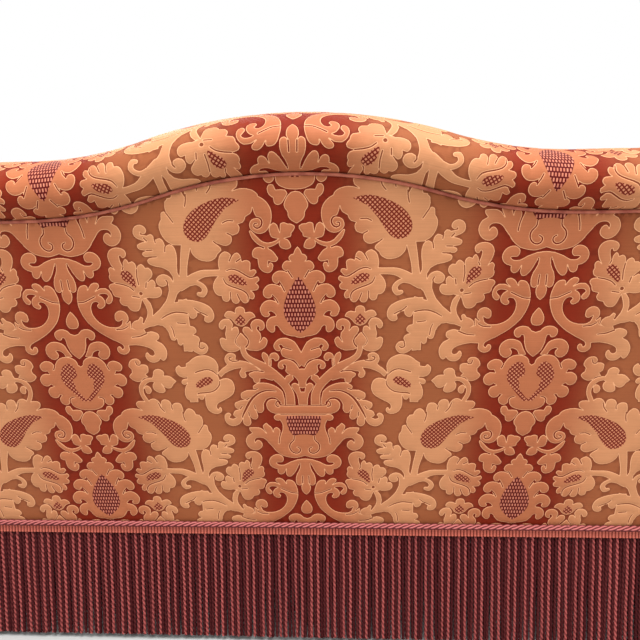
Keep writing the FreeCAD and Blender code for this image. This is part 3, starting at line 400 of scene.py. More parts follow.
    # Big leaf that curls over the urn.
    blob((28.4, 281, 0), (28.6, 270, 0), (31, 258, .08), (40, 249, .08), (54, 243.2, .06), (67, 242.4, .12),
         (76.6, 248, .3), (75, 254.6, 0), (86, 255, .1), (96, 260, .25), (95.6, 269.6, .2), (88, 271.6, 0),
         (98, 273, .06), (107, 277, .3), (106, 286, .2), (100, 288, 0), (108, 291, .15), (111.6, 298, .3),
         (106, 303, 0), (112, 305.6, -.1), (117.6, 304, -.3), (114.6, 299, .3), (118, 294.6, .4),
         (125.4, 301, .2), (122.6, 313.4, .2), (113, 318.6, .2), (101, 313, .1), (96, 304, 0),
         (96.4, 313, .25), (90, 318.6, .35), (83.6, 312, .1), (86, 300, 0), (82, 304.6, .2),
         (76, 306.6, .3), (72, 300, .1), (75.6, 288, 0), (71, 294.4, .3), (64.6, 293.4, .25),
         (61.8, 286, 0), (62, 280, -.1), (57, 271, -.15), (49, 267.6, -.15), (41, 269.6, -.1),
         (37, 274.4, -.05), (35.4, 281, 0)),
    vein((42, 257, 1.2), (54, 255.6, 2), (66, 259, 2.6), (76, 266, 3.2), (84, 276, 3.6), (90.4, 288, 3.4),
         (95, 297, 2.6), (97.4, 303, 1.6)),
    vein((75.4, 254.6), (70, 252.6)),
    vein((88, 271.6), (84, 269)),
    vein((99.6, 288), (96, 283)),
    vein((86, 300), (86.4, 294)),
    vein((75.6, 288), (76.4, 282)),
    # Urn: rim with volutes, basket body and side bands.
    blob((-6, 282, 0), (36, 282, 0), (38.4, 278, 0), (39, 274, .25), (46, 270.6, .25), (55, 274, .25),
         (57.6, 283, .2), (53, 292, .15), (42, 296.4, .05), (36, 297, 0), (-6, 297, 0)),
    vein((0, 281.4, 1.2), (33, 281.4, 1.4), (36, 276, 2), (40, 274.4, 1.6), (42.6, 278, 1.8),
         (42, 282.6, 1.8), (38, 284, 1.4)),
    blob((-6, 296, 0), (36, 297, .1), (44, 298, .3), (47, 304, .3), (42, 308.4, .3), (37.6, 307.4, -.1),
         (33.8, 316, -.08), (34.6, 327, -.04), (40, 339, .03), (41, 349, .05), (46, 356, 0), (50, 360, 0),
         (46, 365, .05), (36, 373, .08), (16, 377.4, .06), (0, 373, 0), (-6, 373, 0)),
    vein((0, 297.4, 1.2), (36, 297.4, 1.2)),
    basket((-6, 299.5, 0), (28, 300.5, 0), (26.6, 314, .03), (23, 328, .05), (16.5, 336, .05),
           (8, 333.6, 0), (-6, 333, 0)),
    blob((41, 348, 0), (38, 335, 0), (38, 326, .15), (43, 320.6, .3), (48.6, 324, .1), (49, 330, 0),
         (51, 322, .15), (56, 317, .1), (60, 312.6, .1), (65.4, 318, .15), (62, 328, 0), (60, 332, 0),
         (65, 325, .1), (72, 321, .05), (87, 321, .2), (87, 326, .05), (83, 331, 0), (90, 335, .15),
         (94.6, 346, .2), (89, 359, .2), (78, 363, .2), (69, 357, .25), (69, 348.6, .3), (75, 344, .3),
         (79.6, 349, 0), (80.4, 344.4, -.3), (74, 339.4, -.15), (65, 341, -.12), (58, 349, -.03),
         (46, 365, 0), (38, 360, 0)),
    vein((37, 330), (40, 341), (41, 350)),
    vein((16, 336, 1.6), (17, 344, 1.8), (23, 351, 2), (24, 359, 2), (20, 366, 2), (13, 368.6, 2),
         (7.6, 365, 2), (7.6, 359.6, 1.8), (11.6, 357, 1.6)),
    # Palmette that hangs under the urn.
    blob((-6, 379, 0), (0, 378.6, 0), (12, 380, -.02), (24, 384.6, -.03), (34, 390.4, -.08),
         (43, 390.4, -.15), (47, 387, -.2), (44.6, 385.6, 0), (39, 385.8, .3), (35, 380, .3),
         (38, 373, .25), (46, 370.6, .25), (57, 378, .25), (58, 390, .25), (49, 397.6, 0),
         (45.6, 398.6, .1), (45.4, 405, .25), (41, 409, .3), (34, 404.6, .05), (31, 397, 0),
         (32.4, 406, .2), (29, 413, .3), (22, 411, .1), (14, 399, .03), (9, 387, 0), (12, 401, .03),
         (16, 415, .1), (15.4, 427, .3), (9.6, 430.4, .2), (5, 425, 0), (7.6, 432, .15), (5.6, 443, .1),
         (0, 448.6, 0), (-5.6, 443, 0), (-6, 385, 0)),
    vein((8.6, 388, 1.2), (9.5, 395, 2), (12, 402, 2), (15, 408, 1.4)),
    vein((5, 412), (5.4, 426)),
    blob((0, 459.6, .1), (6, 467, .15), (9.4, 477, .25), (5.6, 486, .1), (0, 487, 0), (-5, 486, 0),
         (-7, 478, 0), (-5, 467, 0)),
    # Second flower, with its curled upper petal.
    blob((70, 377, .15), (74, 368.6, .2), (86, 365, .2), (96, 369, .3), (96.5, 377, .35), (91, 380, .2),
         (89, 376, -.3), (86.5, 378, -.05), (88, 387, 0), (90.5, 394, 0), (91, 387, .15), (95, 381.4, .35),
         (99, 387, 0), (104, 385, .3), (109.4, 391, .1), (109, 399, 0), (111, 393, .2), (117, 389, .3),
         (122, 395, 0), (127, 394.6, .25), (132, 402, .3), (127, 411, .1), (122, 416, 0),
         (124.5, 415.5, .1), (130, 412, .35), (134.4, 418, .2), (133, 424, 0), (139, 423, .3),
         (142.6, 431, .3), (136, 439, .15), (122, 439, .05), (112, 441, 0), (109, 449, .15), (104, 459, .2),
         (95, 459.5, .2), (88.5, 452, 0), (84, 451, .3), (78, 446, .3), (80, 439, 0), (72, 437, .25),
         (69, 430, 0), (68, 428, .2), (65, 422, .35), (70, 417.6, .1), (76, 417, 0), (70, 414, .2),
         (67.4, 408, .2), (69, 403.6, 0), (68, 398, .3), (72, 393, .2), (78, 398, 0), (73, 390, .1)),
    # Feathered leaf, its stem, hook and the stems that meet at the foot.
    blob((131, 349, .2), (137, 346.8, .3), (141, 353, 0), (143, 354.6, .15), (149, 352.6, .25),
         (154.5, 360, .1), (155, 366, 0), (157, 363.5, .15), (162, 361.4, .25), (168.5, 367, .1),
         (170.4, 378, .05), (169, 392, .03), (168.6, 402, 0), (171, 408, 0), (178, 412, 0), (178, 425, 0),
         (171, 428, 0), (165, 434, 0), (159, 447, 0), (162, 446.6, 0), (171.5, 443, .02), (178, 441, 0),
         (178, 525, 0), (171, 524.5, .1), (167, 519, .1), (166, 512, 0), (164.6, 511, .3), (161, 514.8, .3),
         (157, 511, .05), (156.5, 503, 0), (155, 505, .3), (150, 506.6, .3), (146.5, 502, .05),
         (145, 494, .05), (141.5, 487, .1), (137, 482.6, .15), (130, 481.4, .1), (118, 484, 0),
         (108, 488, 0), (100, 492, 0), (92, 488, 0), (89, 485, 0), (91, 479, .05), (95, 475.5, .1),
         (101, 473.6, 0), (105, 468.4, .3), (109, 471, .1), (107, 478, 0), (109, 479, 0), (115, 469, -.1),
         (117, 459, -.08), (113, 446, -.05), (111, 441, 0), (118, 440, 0), (123, 447, .05),
         (125.6, 458, .05), (124.2, 467, 0), (136, 457, -.02), (147, 444, -.05), (153, 429, -.05),
         (153, 420, 0), (151.5, 419.5, .3), (148, 422, .25), (141, 422, .3), (136, 416, .3), (138, 409, .2),
         (147, 404.4, .2), (157, 408.5, .15), (161, 417, 0), (161, 408, 0), (157, 400.5, -.05),
         (148, 395, -.03), (138, 393, .05), (130, 390, .2), (127, 385, .35), (131, 381, 0), (140, 379, 0),
         (125, 379, .2), (121, 375.6, .4), (124, 371.6, 0), (128, 370, 0), (119, 368.6, .3),
         (115, 364.4, .4), (118, 360, .1), (128, 357.5, 0), (121, 354.6, .15), (113, 349.6, .2),
         (112, 342, .3), (118, 334.4, .3), (128, 335.6, .3), (131, 343, .35), (125, 346.6, .1),
         (122, 343.6, 0), (121.6, 347, 0)),
    hole((108.2, 433, 1), (113.8, 433, 1)),
    vein((76, 417), (86, 419), (95, 422.5), (101, 428)),
    vein((109.6, 397), (108.5, 408), (109.5, 420)),
    vein((121, 416.6), (119.6, 424)),
    vein((98, 437), (108, 438.6)),
    vein((90.4, 393), (88.6, 397)),
    lattice((85, 404, .2), (90, 398.4, .15), (98, 400, .1), (104, 409, .05), (106, 420, .1), (105, 424, .2),
            (97, 418.6, .03), (88, 412, .1)),
    vein((150.4, 413), (152.6, 417), (151.5, 421)),
    vein((130, 356.4), (126, 352)),
    vein((141, 352), (142, 359)),
    vein((155, 365), (154, 372)),
    vein((128, 369.8), (136, 369.5)),
    vein((130, 379.2), (141, 379)),
    vein((137, 471.5, 1.4), (146, 466, 2), (158, 462, 2.2), (170, 462.6, 2), (176, 464, 2)),
    vein((160, 478.5), (172, 480)),
    vein((149, 483, 1.2), (152, 490, 1.6), (153, 500, 1.6)),
    # Scroll with three curls and the low branch that runs on to the right.
    blob((18, 426, .1), (22, 421, .15), (30, 419.4, .3), (33, 423, .1), (32, 427.5, 0), (35, 422.5, .15),
         (41, 416.6, .25), (49, 417, .35), (50, 422, .1), (43, 429, 0), (50, 424.8, .1), (60, 424.6, .2),
         (67, 433, .2), (67, 443, .25), (61, 448.4, .4), (57, 445, .3), (58.5, 440.6, 0), (62, 436.5, -.3),
         (58, 432.6, -.1), (51, 432.8, 0), (47, 434.4, 0), (49, 435.4, .2), (54, 440, .2), (55.5, 448, .25),
         (51, 454, .3), (45, 455, .3), (42.6, 451, .2), (45.6, 447.5, -.4), (42, 444.6, -.15),
         (37, 446, -.15), (33, 453, -.12), (33.6, 464, -.1), (39, 474, -.1), (48, 481.5, -.08),
         (59, 484.8, -.05), (69, 484.6, -.1), (75, 481, -.15), (77.4, 472, 0), (74.5, 474.6, .2),
         (69, 475.4, .35), (66.4, 469, .3), (70, 461, .25), (79, 459, .25), (86, 465.5, .2),
         (85.6, 475.5, 0), (89, 475, .1), (89, 481, .05), (88, 486, 0), (100, 490, 0), (108, 488, 0),
         (110, 493.6, 0), (118, 491.6, .1), (127, 494.5, .3), (129.6, 500.5, .3), (124, 506.6, 0),
         (132, 511, .12), (138, 521, .15), (137, 533, .2), (132, 539.5, .35), (127, 535, .1),
         (125.5, 538, .2), (117, 542.5, .25), (107, 538.5, .25), (104.6, 529, .3), (108, 525.4, .2),
         (110.6, 529, -.2), (115, 531.4, -.3), (119, 528.6, -.2), (117, 521.6, -.1), (106, 516, -.05),
         (92, 513.4, 0), (81, 514, 0), (81.6, 521, .2), (77, 527, .25), (69, 528.4, .25), (63, 524, .3),
         (63.4, 516.5, .3), (68, 516, 0), (70, 520.4, -.4), (73.4, 516.5, -.2), (70, 511.5, -.05),
         (58, 505, 0), (46, 497.6, .05), (35, 489, .05), (24, 477.5, .08), (15.6, 459, .08),
         (13.6, 445, .08), (15.6, 433, .05)),
    vein((15, 446), (24, 445), (34, 440.5), (41, 437)),
    vein((66, 488.5), (77, 487.4), (84, 483.5)),
    vein((88, 501, 1.4), (100, 499.5, 2), (111, 495, 2.2)),
    vein((83, 478.5), (86.4, 475.6)),
    # Curls along the axis above the heart.
    blob((6, 495, .1), (12, 489, .15), (21, 487.6, .2), (30.6, 493, .25), (30, 502, .3), (23.6, 505.4, .35),
         (20.6, 501.5, -.2), (17, 501.5, -.1), (15, 513, .03), (11, 525, .05), (4, 533, 0), (0, 536, 0),
         (-4, 533, 0), (-6, 500, 0), (0, 497, 0)),
    blob((10, 532, .03), (15, 523, .05), (19, 514, .15), (26, 509, .12), (37, 507.6, .2), (48, 515, .2),
         (50, 526, .2), (45, 535, .2), (38, 537, .25), (31.4, 531, .2), (32, 526, .1), (34.4, 523, -.3),
         (29, 522.6, -.2), (23, 527, -.1), (21, 532, 0), (14, 533, 0)),
    # Heart with a crescent basket and scalloped edge, and the palmette at its tip.
    blob((4, 546, .2), (7, 538, .2), (18, 533, .15), (30, 534.4, .15), (38, 542, .1), (41, 548, 0),
         (45, 542, .2), (54, 539.4, .25), (65, 547, .3), (62, 556, .25), (54.6, 556, 0), (52, 561.6, 0),
         (59, 560.6, .2), (68, 567, .25), (67.6, 578, .25), (60, 582.4, .25), (53.6, 578.6, 0),
         (48.6, 582, 0), (56, 584.6, .2), (60, 592, .2), (56.6, 600.6, .25), (48, 602.6, .25),
         (42.6, 597, 0), (39, 597.6, 0), (43.4, 603, .15), (42.6, 610.6, .25), (35, 615.6, .2),
         (29.4, 612, 0), (27, 609, 0), (26, 614, .2), (18, 621, .12), (6, 624, 0), (0, 624.4, 0),
         (-8, 624, 0), (-8, 549, 0), (0, 549, 0)),
    vein((20, 601.5), (25, 602.5), (28, 606.5), (27.4, 612)),
    vein((41, 547), (44, 554)),
    lattice((14, 545, 0), (20, 543, .1), (29, 549.6, .12), (35, 564, .12), (32, 577, .05), (19, 594, 0),
            (7, 608.6, 0), (-5, 608, 0), (3, 603, 0), (15, 587, .2), (15, 578, -.3), (16.4, 570, .2),
            (8.4, 564, .1), (9, 556, .1)),
    blob((0, 626.4, 0), (6, 627.6, .05), (11, 632, .08), (16.6, 643, .25), (13, 652, .2), (11.6, 655, .2),
         (11, 661, .15), (4, 667.6, .1), (0, 669.6, 0), (-4, 667, 0), (-6, 630, 0)),
    blob((11, 629.6, .1), (14, 624.6, .1), (27, 624.4, 0), (30, 617.6, .2), (36, 617.6, .3),
         (38.4, 625, .2), (35, 632, .2), (31, 634.4, 0), (30, 641, .3), (24, 644.4, .25), (17, 639, .05)),
    # Two trefoils on a stem.
    blob((76, 545, .2), (81, 537.6, .2), (90, 536, .3), (95, 541.6, .3), (93, 545.6, 0), (99, 545.6, .25),
         (105.6, 549, .1), (105, 558, .15), (100, 562, 0), (104, 567, 0), (96, 569, 0), (92, 573.6, .25),
         (82, 573.8, .2), (74, 566, .2), (79, 560, 0), (79.6, 554, 0), (76, 550, .2)),
    vein((87.6, 541), (89, 546.4), (93.6, 546.6)),
    stroke((112, 571, 6), (103, 572, 7), (96, 576, 8), (91, 583, 8), (89.6, 591, 7), (91, 599, 7),
           (96, 609, 7)),
    blob((94, 586, 0), (98, 581, .2), (104, 584, .2), (106, 590, .3), (101, 596, .3), (97, 594, .1),
         (96, 588, 0)),
    blob((110, 567, 0), (112, 563, .1), (113, 557, .25), (121, 553.2, .25), (129, 558, .25),
         (127.6, 564.6, 0), (134, 564.6, .2), (142, 569, 0), (147, 574, .1), (142, 579, .1),
         (138, 585, .25), (131, 586, .2), (123, 578, 0), (127, 585, .1), (128, 591, .25), (121, 594.4, .2),
         (111, 589.6, .25), (109, 580, .15), (112, 576, 0), (108, 574, 0)),
    # Golden flower half way between the columns.
    blob((146, 196.4, .1), (160, 198, .12), (171.5, 206, 0), (178, 210, 0), (178, 276, 0), (170, 276, .3),
         (165, 271.5, 0), (164, 267, 0), (161, 271.5, .3), (156, 270.5, .1), (153, 262, 0),
         (153.6, 276, .15), (150, 290, .2), (140, 296.4, .2), (132, 295, .3), (128.6, 289.5, .3),
         (131, 284.6, .3), (134, 289, -.3), (136.4, 284, -.3), (131, 276.4, 0), (118, 269, .08),
         (109, 262, .15), (105.5, 250, .15), (109, 238.5, .2), (118, 234.6, .15), (128, 238, 0),
         (130, 229, .05), (128, 215, .15), (133, 203, .12)),
    vein((131, 229, 1.4), (137, 223, 2), (146, 220, 2), (158, 222.5, 2), (168, 226.5, 2), (176, 231, 2)),
    vein((128, 240, 1.4), (129, 246, 1.8), (134, 253, 2), (141, 257.5, 2), (152, 259.6, 2.2),
         (162, 260.4, 2.2), (169, 264, 2), (176, 269, 2)),
    lattice((138, 238, .1), (143, 232.4, .15), (154, 234.5, .1), (166, 245, .15), (165, 250.5, .3),
            (154, 248.5, .08), (141, 243, .1)),
    blob((162, 303, .2), (167, 299.6, .1), (178, 298, 0), (178, 363, 0), (168, 362.5, .08), (158, 357, .12),
         (151, 345, .12), (150, 334, .1), (154, 327, 0), (154.5, 319, .3), (159.5, 316, .2), (163, 320, 0),
         (161, 311, 0)),
    vein((162, 318), (166, 324), (170.5, 331)),
    blob((148, 556, .15), (149, 551, .1), (154, 547, .1), (157, 550.6, -.1), (166, 549, -.1), (172, 544, 0),
         (178, 541, 0), (178, 562, 0), (172, 564.6, .1), (160, 568, .2), (151, 563.6, .15)),
    blob((155, 575, .2), (158, 571, .15), (167, 570, 0), (166, 575, 0), (161, 580, .3), (156, 578.6, .2)),
    blob((172, 569.5, 0), (178, 569, 0), (178, 610.6, 0), (170, 610, .12), (161, 604.6, .15),
         (158.4, 594, .12), (162, 581, .1), (168, 573, .05)),
]


def near_segments(px, pv, line, closed):
    """Distance from each grid point to the line, and for a closed one whether it is inside."""
    q = np.array([p[:2] for p in line], float)
    a = q if closed else q[:-1]
    b = np.roll(q, -1, axis=0) if closed else q[1:]
    best = np.full(px.shape, 1e9)
    inside = np.zeros(px.shape, bool)
    for (ax, av), (bx, bv) in zip(a, b):
        dx, dv = bx - ax, bv - av
        size = dx * dx + dv * dv
        if size < 1e-9:
            continue
        t = np.clip(((px - ax) * dx + (pv - av) * dv) / size, 0, 1)
        best = np.minimum(best, (px - ax - t * dx) ** 2 + (pv - av - t * dv) ** 2)
        if closed and av != bv:
            crosses = (av > pv) != (bv > pv)
            inside ^= crosses & (px < (bx - ax) * (pv - av) / (bv - av) + ax)
    return np.sqrt(best), inside


def near_stroke(px, pv, line):
    """How far each grid point is inside a tapered stroke."""
    best = np.full(px.shape, -1e9)
    for (ax, av, aw), (bx, bv, bw) in zip(line, line[1:]):
        dx, dv = bx - ax, bv - av
        size = dx * dx + dv * dv
        if size < 1e-9:
            continue
        t = np.clip(((px - ax) * dx + (pv - av) * dv) / size, 0, 1)
        gap = np.hypot(px - ax - t * dx, pv - av - t * dv)
        best = np.maximum(best, (aw + (bw - aw) * t) / 2 - gap)
    return best


def images_of(line):
    """The line and its copies by the repeat's symmetry, where they reach the quarter that is drawn."""
    q = np.array(line, float)
    for flip in (1, -1):
        for column in (0, 1):
            for row in (-2, -1, 0, 1, 2):
                c = q.copy()
                c[:, 0] = flip * q[:, 0] + column * PITCH
                c[:, 1] = q[:, 1] + column * HALF_V + row * REPEAT
                if c[:, 0].max() < -8 or c[:, 0].min() > HALF_X + 8:
                    continue
                if c[:, 1].max() < -8 or c[:, 1].min() > REPEAT + 8:
                    continue
                yield [tuple(p) for p in c]


def draw_pattern():
    """Signed distance into the figure, its basket parts and its net parts, over the quarter repeat."""
    xs = np.arange(GRID_COLS) * GRID_X
    vs = np.arange(GRID_ROWS) * GRID_V
    figure = np.full((GRID_ROWS, GRID_COLS), -FAR)
    weave = figure.copy()
    net = figure.copy()
    for kind, line in MOTIFS:
        for copy in images_of(line):
            p = np.array([q[:2] for q in copy])
            reach = FAR + max([q[2] for q in copy]) if kind in ("stroke", "cut") else FAR
            i0, i1 = np.searchsorted(xs, (p[:, 0].min() - reach, p[:, 0].max() + reach))
            j0, j1 = np.searchsorted(vs, (p[:, 1].min() - reach, p[:, 1].max() + reach))
            if i1 <= i0 or j1 <= j0:
                continue
            px, pv = np.meshgrid(xs[i0:i1], vs[j0:j1])
            part = figure[j0:j1, i0:i1]
            if kind in ("stroke", "cut"):
                d = near_stroke(px, pv, copy)
            else:
                gap, inside = near_segments(px, pv, copy, True)
                d = np.where(inside, gap, -gap)
            if kind in ("fill", "stroke"):
                part[:] = np.maximum(part, d)
            elif kind in ("cut", "hole"):
                part[:] = np.minimum(part, -d)
            else:
                field = weave if kind == "basket" else net
                field[j0:j1, i0:i1] = np.maximum(field[j0:j1, i0:i1], d)
    return figure, weave, net


FIGURE, WEAVE, NET = draw_pattern()


def read_field(field, x, v):
    """The field at any point of the cloth, by the repeat's symmetry."""
    x = np.abs((np.asarray(x, float) + PITCH / 2) % (2 * PITCH) - PITCH / 2)
    far = x > HALF_X
    v = np.where(far, np.asarray(v, float) + HALF_V, v) % REPEAT
    x = np.abs(np.where(far, PITCH - x, x))
    i = np.clip(x / GRID_X, 0, GRID_COLS - 1.001)
    j = np.clip(v / GRID_V, 0, GRID_ROWS - 1.001)
    i0, j0 = i.astype(int), j.astype(int)
    fi, fj = i - i0, j - j0
    top = field[j0, i0] * (1 - fi) + field[j0, i0 + 1] * fi
    low = field[j0 + 1, i0] * (1 - fi) + field[j0 + 1, i0 + 1] * fi
    return top * (1 - fj) + low * fj


def outlines(field, level):
    """Lines where the field crosses the level, each a list of points in the quarter repeat."""
    f = field - level
    f = np.where(np.abs(f) < 1e-7, 1e-7, f)
    up = f > 0
    rows, cols = f.shape
    across = np.argwhere(up[:, :-1] != up[:, 1:])
    along = np.argwhere(up[:-1, :] != up[1:, :])
    place = {}
    for j, i in across:
        t = f[j, i] / (f[j, i] - f[j, i + 1])
        place[(j, i, 0)] = ((i + t) * GRID_X, j * GRID_V)
    for j, i in along:
        t = f[j, i] / (f[j, i] - f[j + 1, i])
        place[(j, i, 1)] = (i * GRID_X, (j + t) * GRID_V)
    links = {}
    mixed = up[:-1, :-1].astype(int) + up[1:, :-1] + up[:-1, 1:] + up[1:, 1:]
    for j, i in np.argwhere((mixed > 0) & (mixed < 4)):
        sides = [k for k in ((j, i, 0), (j, i + 1, 1), (j + 1, i, 0), (j, i, 1)) if k in place]
        pairs = [(0, 1)]
        if len(sides) == 4:
            middle = f[j, i] + f[j + 1, i] + f[j, i + 1] + f[j + 1, i + 1] > 0
            pairs = [(0, 1), (2, 3)] if middle != bool(up[j, i + 1]) else [(0, 3), (1, 2)]
        for a, b in pairs:
            links.setdefault(sides[a], []).append(sides[b])
            links.setdefault(sides[b], []).append(sides[a])
    lines = []
    seen = set()
    starts = [k for k, n in links.items() if len(n) == 1] + list(links)
    for start in starts:
        if start in seen:
            continue
        seen.add(start)
        run = [start]
        here = start
        while True:
            onward = [k for k in links[here] if k not in seen]
            if not onward:
                break
            here = onward[0]
            seen.add(here)
            run.append(here)
        closed = len(run) > 2 and start in links[run[-1]]
        lines.append(([place[k] for k in run], closed))
    return lines


def thinned(points, slack):
    """The points that keep the line within slack of its full form."""
    p = np.array(points)
    keep = np.zeros(len(p), bool)
    keep[0] = keep[-1] = True
    work = [(0, len(p) - 1)]
    while work:
        a, b = work.pop()
        if b - a < 2:
            continue
        run = p[b] - p[a]
        size = np.hypot(*run)
        mid = p[a + 1:b] - p[a]
        if size < 1e-9:
            off = np.hypot(mid[:, 0], mid[:, 1])
        else:
            off = np.abs(mid[:, 0] * run[1] - mid[:, 1] * run[0]) / size
        k = int(off.argmax())
        if off[k] > slack or size > 14:
            if off[k] <= slack:
                k = (b - a) // 2 - 1
            keep[a + 1 + k] = True
            work += [(a, a + 1 + k), (a + 1 + k, b)]
    return p[keep]


def pattern_lines():
    """All the lines that the cloth's mesh has to follow, thinned, in the quarter repeat."""
    out = []
    levels = ((FIGURE, 0.0, 0.16), (FIGURE, RIM_WIDTH, 0.3), (WEAVE, 0.0, 0.3), (NET, 0.0, 0.3))
    for field, level, slack in levels:
        for points, closed in outlines(field, level):
            if len(points) < 4:
                continue
            if closed:
                half = len(points) // 2
                first = thinned(points[:half + 1], slack)
                second = thinned(points[half:] + points[:1], slack)
                out.append(np.concatenate([first, second[1:]]))
            else:
                out.append(thinned(points, slack))
    return out


LINES = pattern_lines()


def in_loop(x, v, loop):
    """Which points lie inside the closed loop."""
    inside = np.zeros(x.shape, bool)
    for (ax, av), (bx, bv) in zip(loop, np.roll(loop, -1, axis=0)):
        if av != bv:
            crosses = (av > v) != (bv > v)
            inside ^= crosses & (x < (bx - ax) * (v - av) / (bv - av) + ax)
    return inside


def lay_pattern(loop, step):
    """Triangles of the cloth inside the loop, with the pattern's outlines as edges of the mesh."""
    loop = np.array(loop, float)
    lo, hi = loop.min(axis=0), loop.max(axis=0)
    verts, edges = [], []

    def add(points, closed=False):
        base = len(verts)
        verts.extend(map(tuple, points))
        edges.extend((base + k, base + k + 1) for k in range(len(points) - 1))
        if closed:
            edges.append((base + len(points) - 1, base))

    first = math.floor(lo[0] / PITCH) - 1
    last = math.ceil(hi[0] / PITCH) + 1
    for column in range(first, last + 1):
        shift = HALF_V if column % 2 else 0.0
        low_row = math.floor((lo[1] - shift) / REPEAT) - 1
        high_row = math.ceil((hi[1] - shift) / REPEAT) + 1
        for row in range(low_row, high_row + 1):
            for flip in (1, -1):
                for p in LINES:
                    x = column * PITCH + flip * p[:, 0]
                    v = p[:, 1] + shift + row * REPEAT
                    if x.max() < lo[0] or x.min() > hi[0] or v.max() < lo[1] or v.min() > hi[1]:
                        continue
                    add(np.stack([x, v], axis=1))
    add(loop, True)
    gx = np.arange(lo[0] + step / 2, hi[0], step)
    gv = np.arange(lo[1] + step / 2, hi[1], step * 0.87)
    px, pv = np.meshgrid(gx, gv)
    px = px + (np.arange(len(gv)) % 2)[:, None] * step / 2
    px, pv = px.ravel(), pv.ravel()
    d = read_field(FIGURE, px, pv)
    keep = (np.abs(d) > step * 0.22) & (np.abs(d - RIM_WIDTH) > step * 0.22)
    verts.extend(zip(px[keep].tolist(), pv[keep].tolist()))
    out = delaunay_2d_cdt([Vector(p) for p in verts], edges, [], 0, 1e-3, False)
    flat = np.array([tuple(p) for p in out[0]])
    tris = np.array(out[2])
    middle = flat[tris].mean(axis=1)
    tris = tris[in_loop(middle[:, 0], middle[:, 1], loop)]
    a, b, c = (flat[tris[:, k]] for k in range(3))
    area = (b[:, 0] - a[:, 0]) * (c[:, 1] - a[:, 1]) - (b[:, 1] - a[:, 1]) * (c[:, 0] - a[:, 0])
    tris = tris[np.abs(area) > 1e-4]
    used, tris = np.unique(tris, return_inverse=True)
    return flat[used], tris.reshape(-1, 3)


def make_mesh(name, points, tris, uv=None, face_values=None, point_values=None, smooth_shade=True):
    """A mesh object from arrays in metres. tris may also be quads."""
    mesh = bpy.data.meshes.new(name)
    sides = tris.shape[1]
    mesh.vertices.add(len(points))
    mesh.vertices.foreach_set("co", np.ascontiguousarray(points, np.float32).ravel())
    mesh.loops.add(tris.size)
    mesh.loops.foreach_set("vertex_index", np.ascontiguousarray(tris, np.int32).ravel())
    mesh.polygons.add(len(tris))
    mesh.polygons.foreach_set("loop_start", np.arange(0, tris.size, sides, dtype=np.int32))
    mesh.polygons.foreach_set("loop_total", np.full(len(tris), sides, np.int32))
    mesh.polygons.foreach_set("use_smooth", np.full(len(tris), smooth_shade))
    if uv is not None:
        layer = mesh.uv_layers.new(name="cloth")
        layer.data.foreach_set("uv", np.ascontiguousarray(uv[tris.ravel()], np.float32).ravel())
    for values, domain in ((face_values, "FACE"), (point_values, "POINT")):
        for key, data in (values or {}).items():
            layer = mesh.attributes.new(key, "FLOAT", domain)
            layer.data.foreach_set("value", np.ascontiguousarray(data, np.float32))
    mesh.update(calc_edges=True)
    mesh.validate()
    obj = bpy.data.objects.new(name, mesh)
    bpy.context.scene.collection.objects.link(obj)
    return obj


def damask_parts(loop, surface, step=10.0, edge=2.0, out=1):
    """Points, triangles, cloth coordinates and pattern values of one cut piece of damask. surface
    gives points and outward normals in millimetres for cloth coordinates."""
    flat, tris = lay_pattern(loop, step)
    d = read_field(FIGURE, flat[:, 0], flat[:, 1])
    middle = flat[tris].mean(axis=1)
    figure = (read_field(FIGURE, middle[:, 0], middle[:, 1]) > 0).astype(float)
    woven = (read_field(WEAVE, middle[:, 0], middle[:, 1]) > 0).astype(float) * figure
    woven = np.where(read_field(NET, middle[:, 0], middle[:, 1]) > 0, 2.0 * figure, woven)
    points, normals = surface(flat[:, 0], flat[:, 1])
    t = np.clip(d / RIM_WIDTH, 0, 1)
    lift = RELIEF * t * t * (3 - 2 * t)
    top = points + normals * lift[:, None]
    a, b, c = (top[tris[:, k]] for k in range(3))
    facing = (np.cross(b - a, c - a) * normals[tris[:, 0]]).sum(axis=1)
    tris = np.where((facing < 0)[:, None], tris[:, ::-1], tris)
    pairs = np.concatenate([tris[:, [0, 1]], tris[:, [1, 2]], tris[:, [2, 0]]])
    owner = np.tile(np.arange(len(tris)), 3)
    key = np.sort(pairs, axis=1)
    _, index, count = np.unique(key, axis=0, return_index=True, return_counts=True)
    rim = pairs[index[count == 1]]
    rim_owner = owner[index[count == 1]]
    ring = np.unique(rim)
    where = np.full(len(top), -1)
    where[ring] = np.arange(len(ring)) + len(top)
    under = points[ring] - normals[ring] * edge
    r0, r1 = rim[:, 0], rim[:, 1]
    walls = np.concatenate([np.stack([r1, r0, where[r0]], 1), np.stack([r1, where[r0], where[r1]], 1)])
    top = np.concatenate([top, under])
    flat = np.concatenate([flat, flat[ring]])
    d = np.concatenate([d, d[ring]])
    tris = np.concatenate([tris, walls])
    figure = np.concatenate([figure, figure[rim_owner], figure[rim_owner]])
    woven = np.concatenate([woven, woven[rim_owner], woven[rim_owner]])
    return top, tris, flat, d, figure, woven


def damask_object(name, parts, material, nodes):
    """One piece from one or more cut pieces of damask sewn together."""
    top, tris, flat, d, figure, woven = [], [], [], [], [], []
    base = 0
    for part in parts:
        top.append(part[0])
        tris.append(part[1] + base)
        flat.append(part[2])
        d.append(part[3])
        figure.append(part[4])
        woven.append(part[5])
        base += len(part[0])
    top, tris, flat = np.concatenate(top), np.concatenate(tris), np.concatenate(flat)
    d, figure, woven = np.concatenate(d), np.concatenate(figure), np.concatenate(woven)
    obj = make_mesh(
        name, top / 1000, tris, flat / 1000,
        {"figure": figure, "basket": woven}, {"inset": np.clip(d, -4, 6)},
    )
    obj.data.materials.append(material)
    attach(obj, "root")
    if nodes:
        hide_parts(*nodes)
    return obj


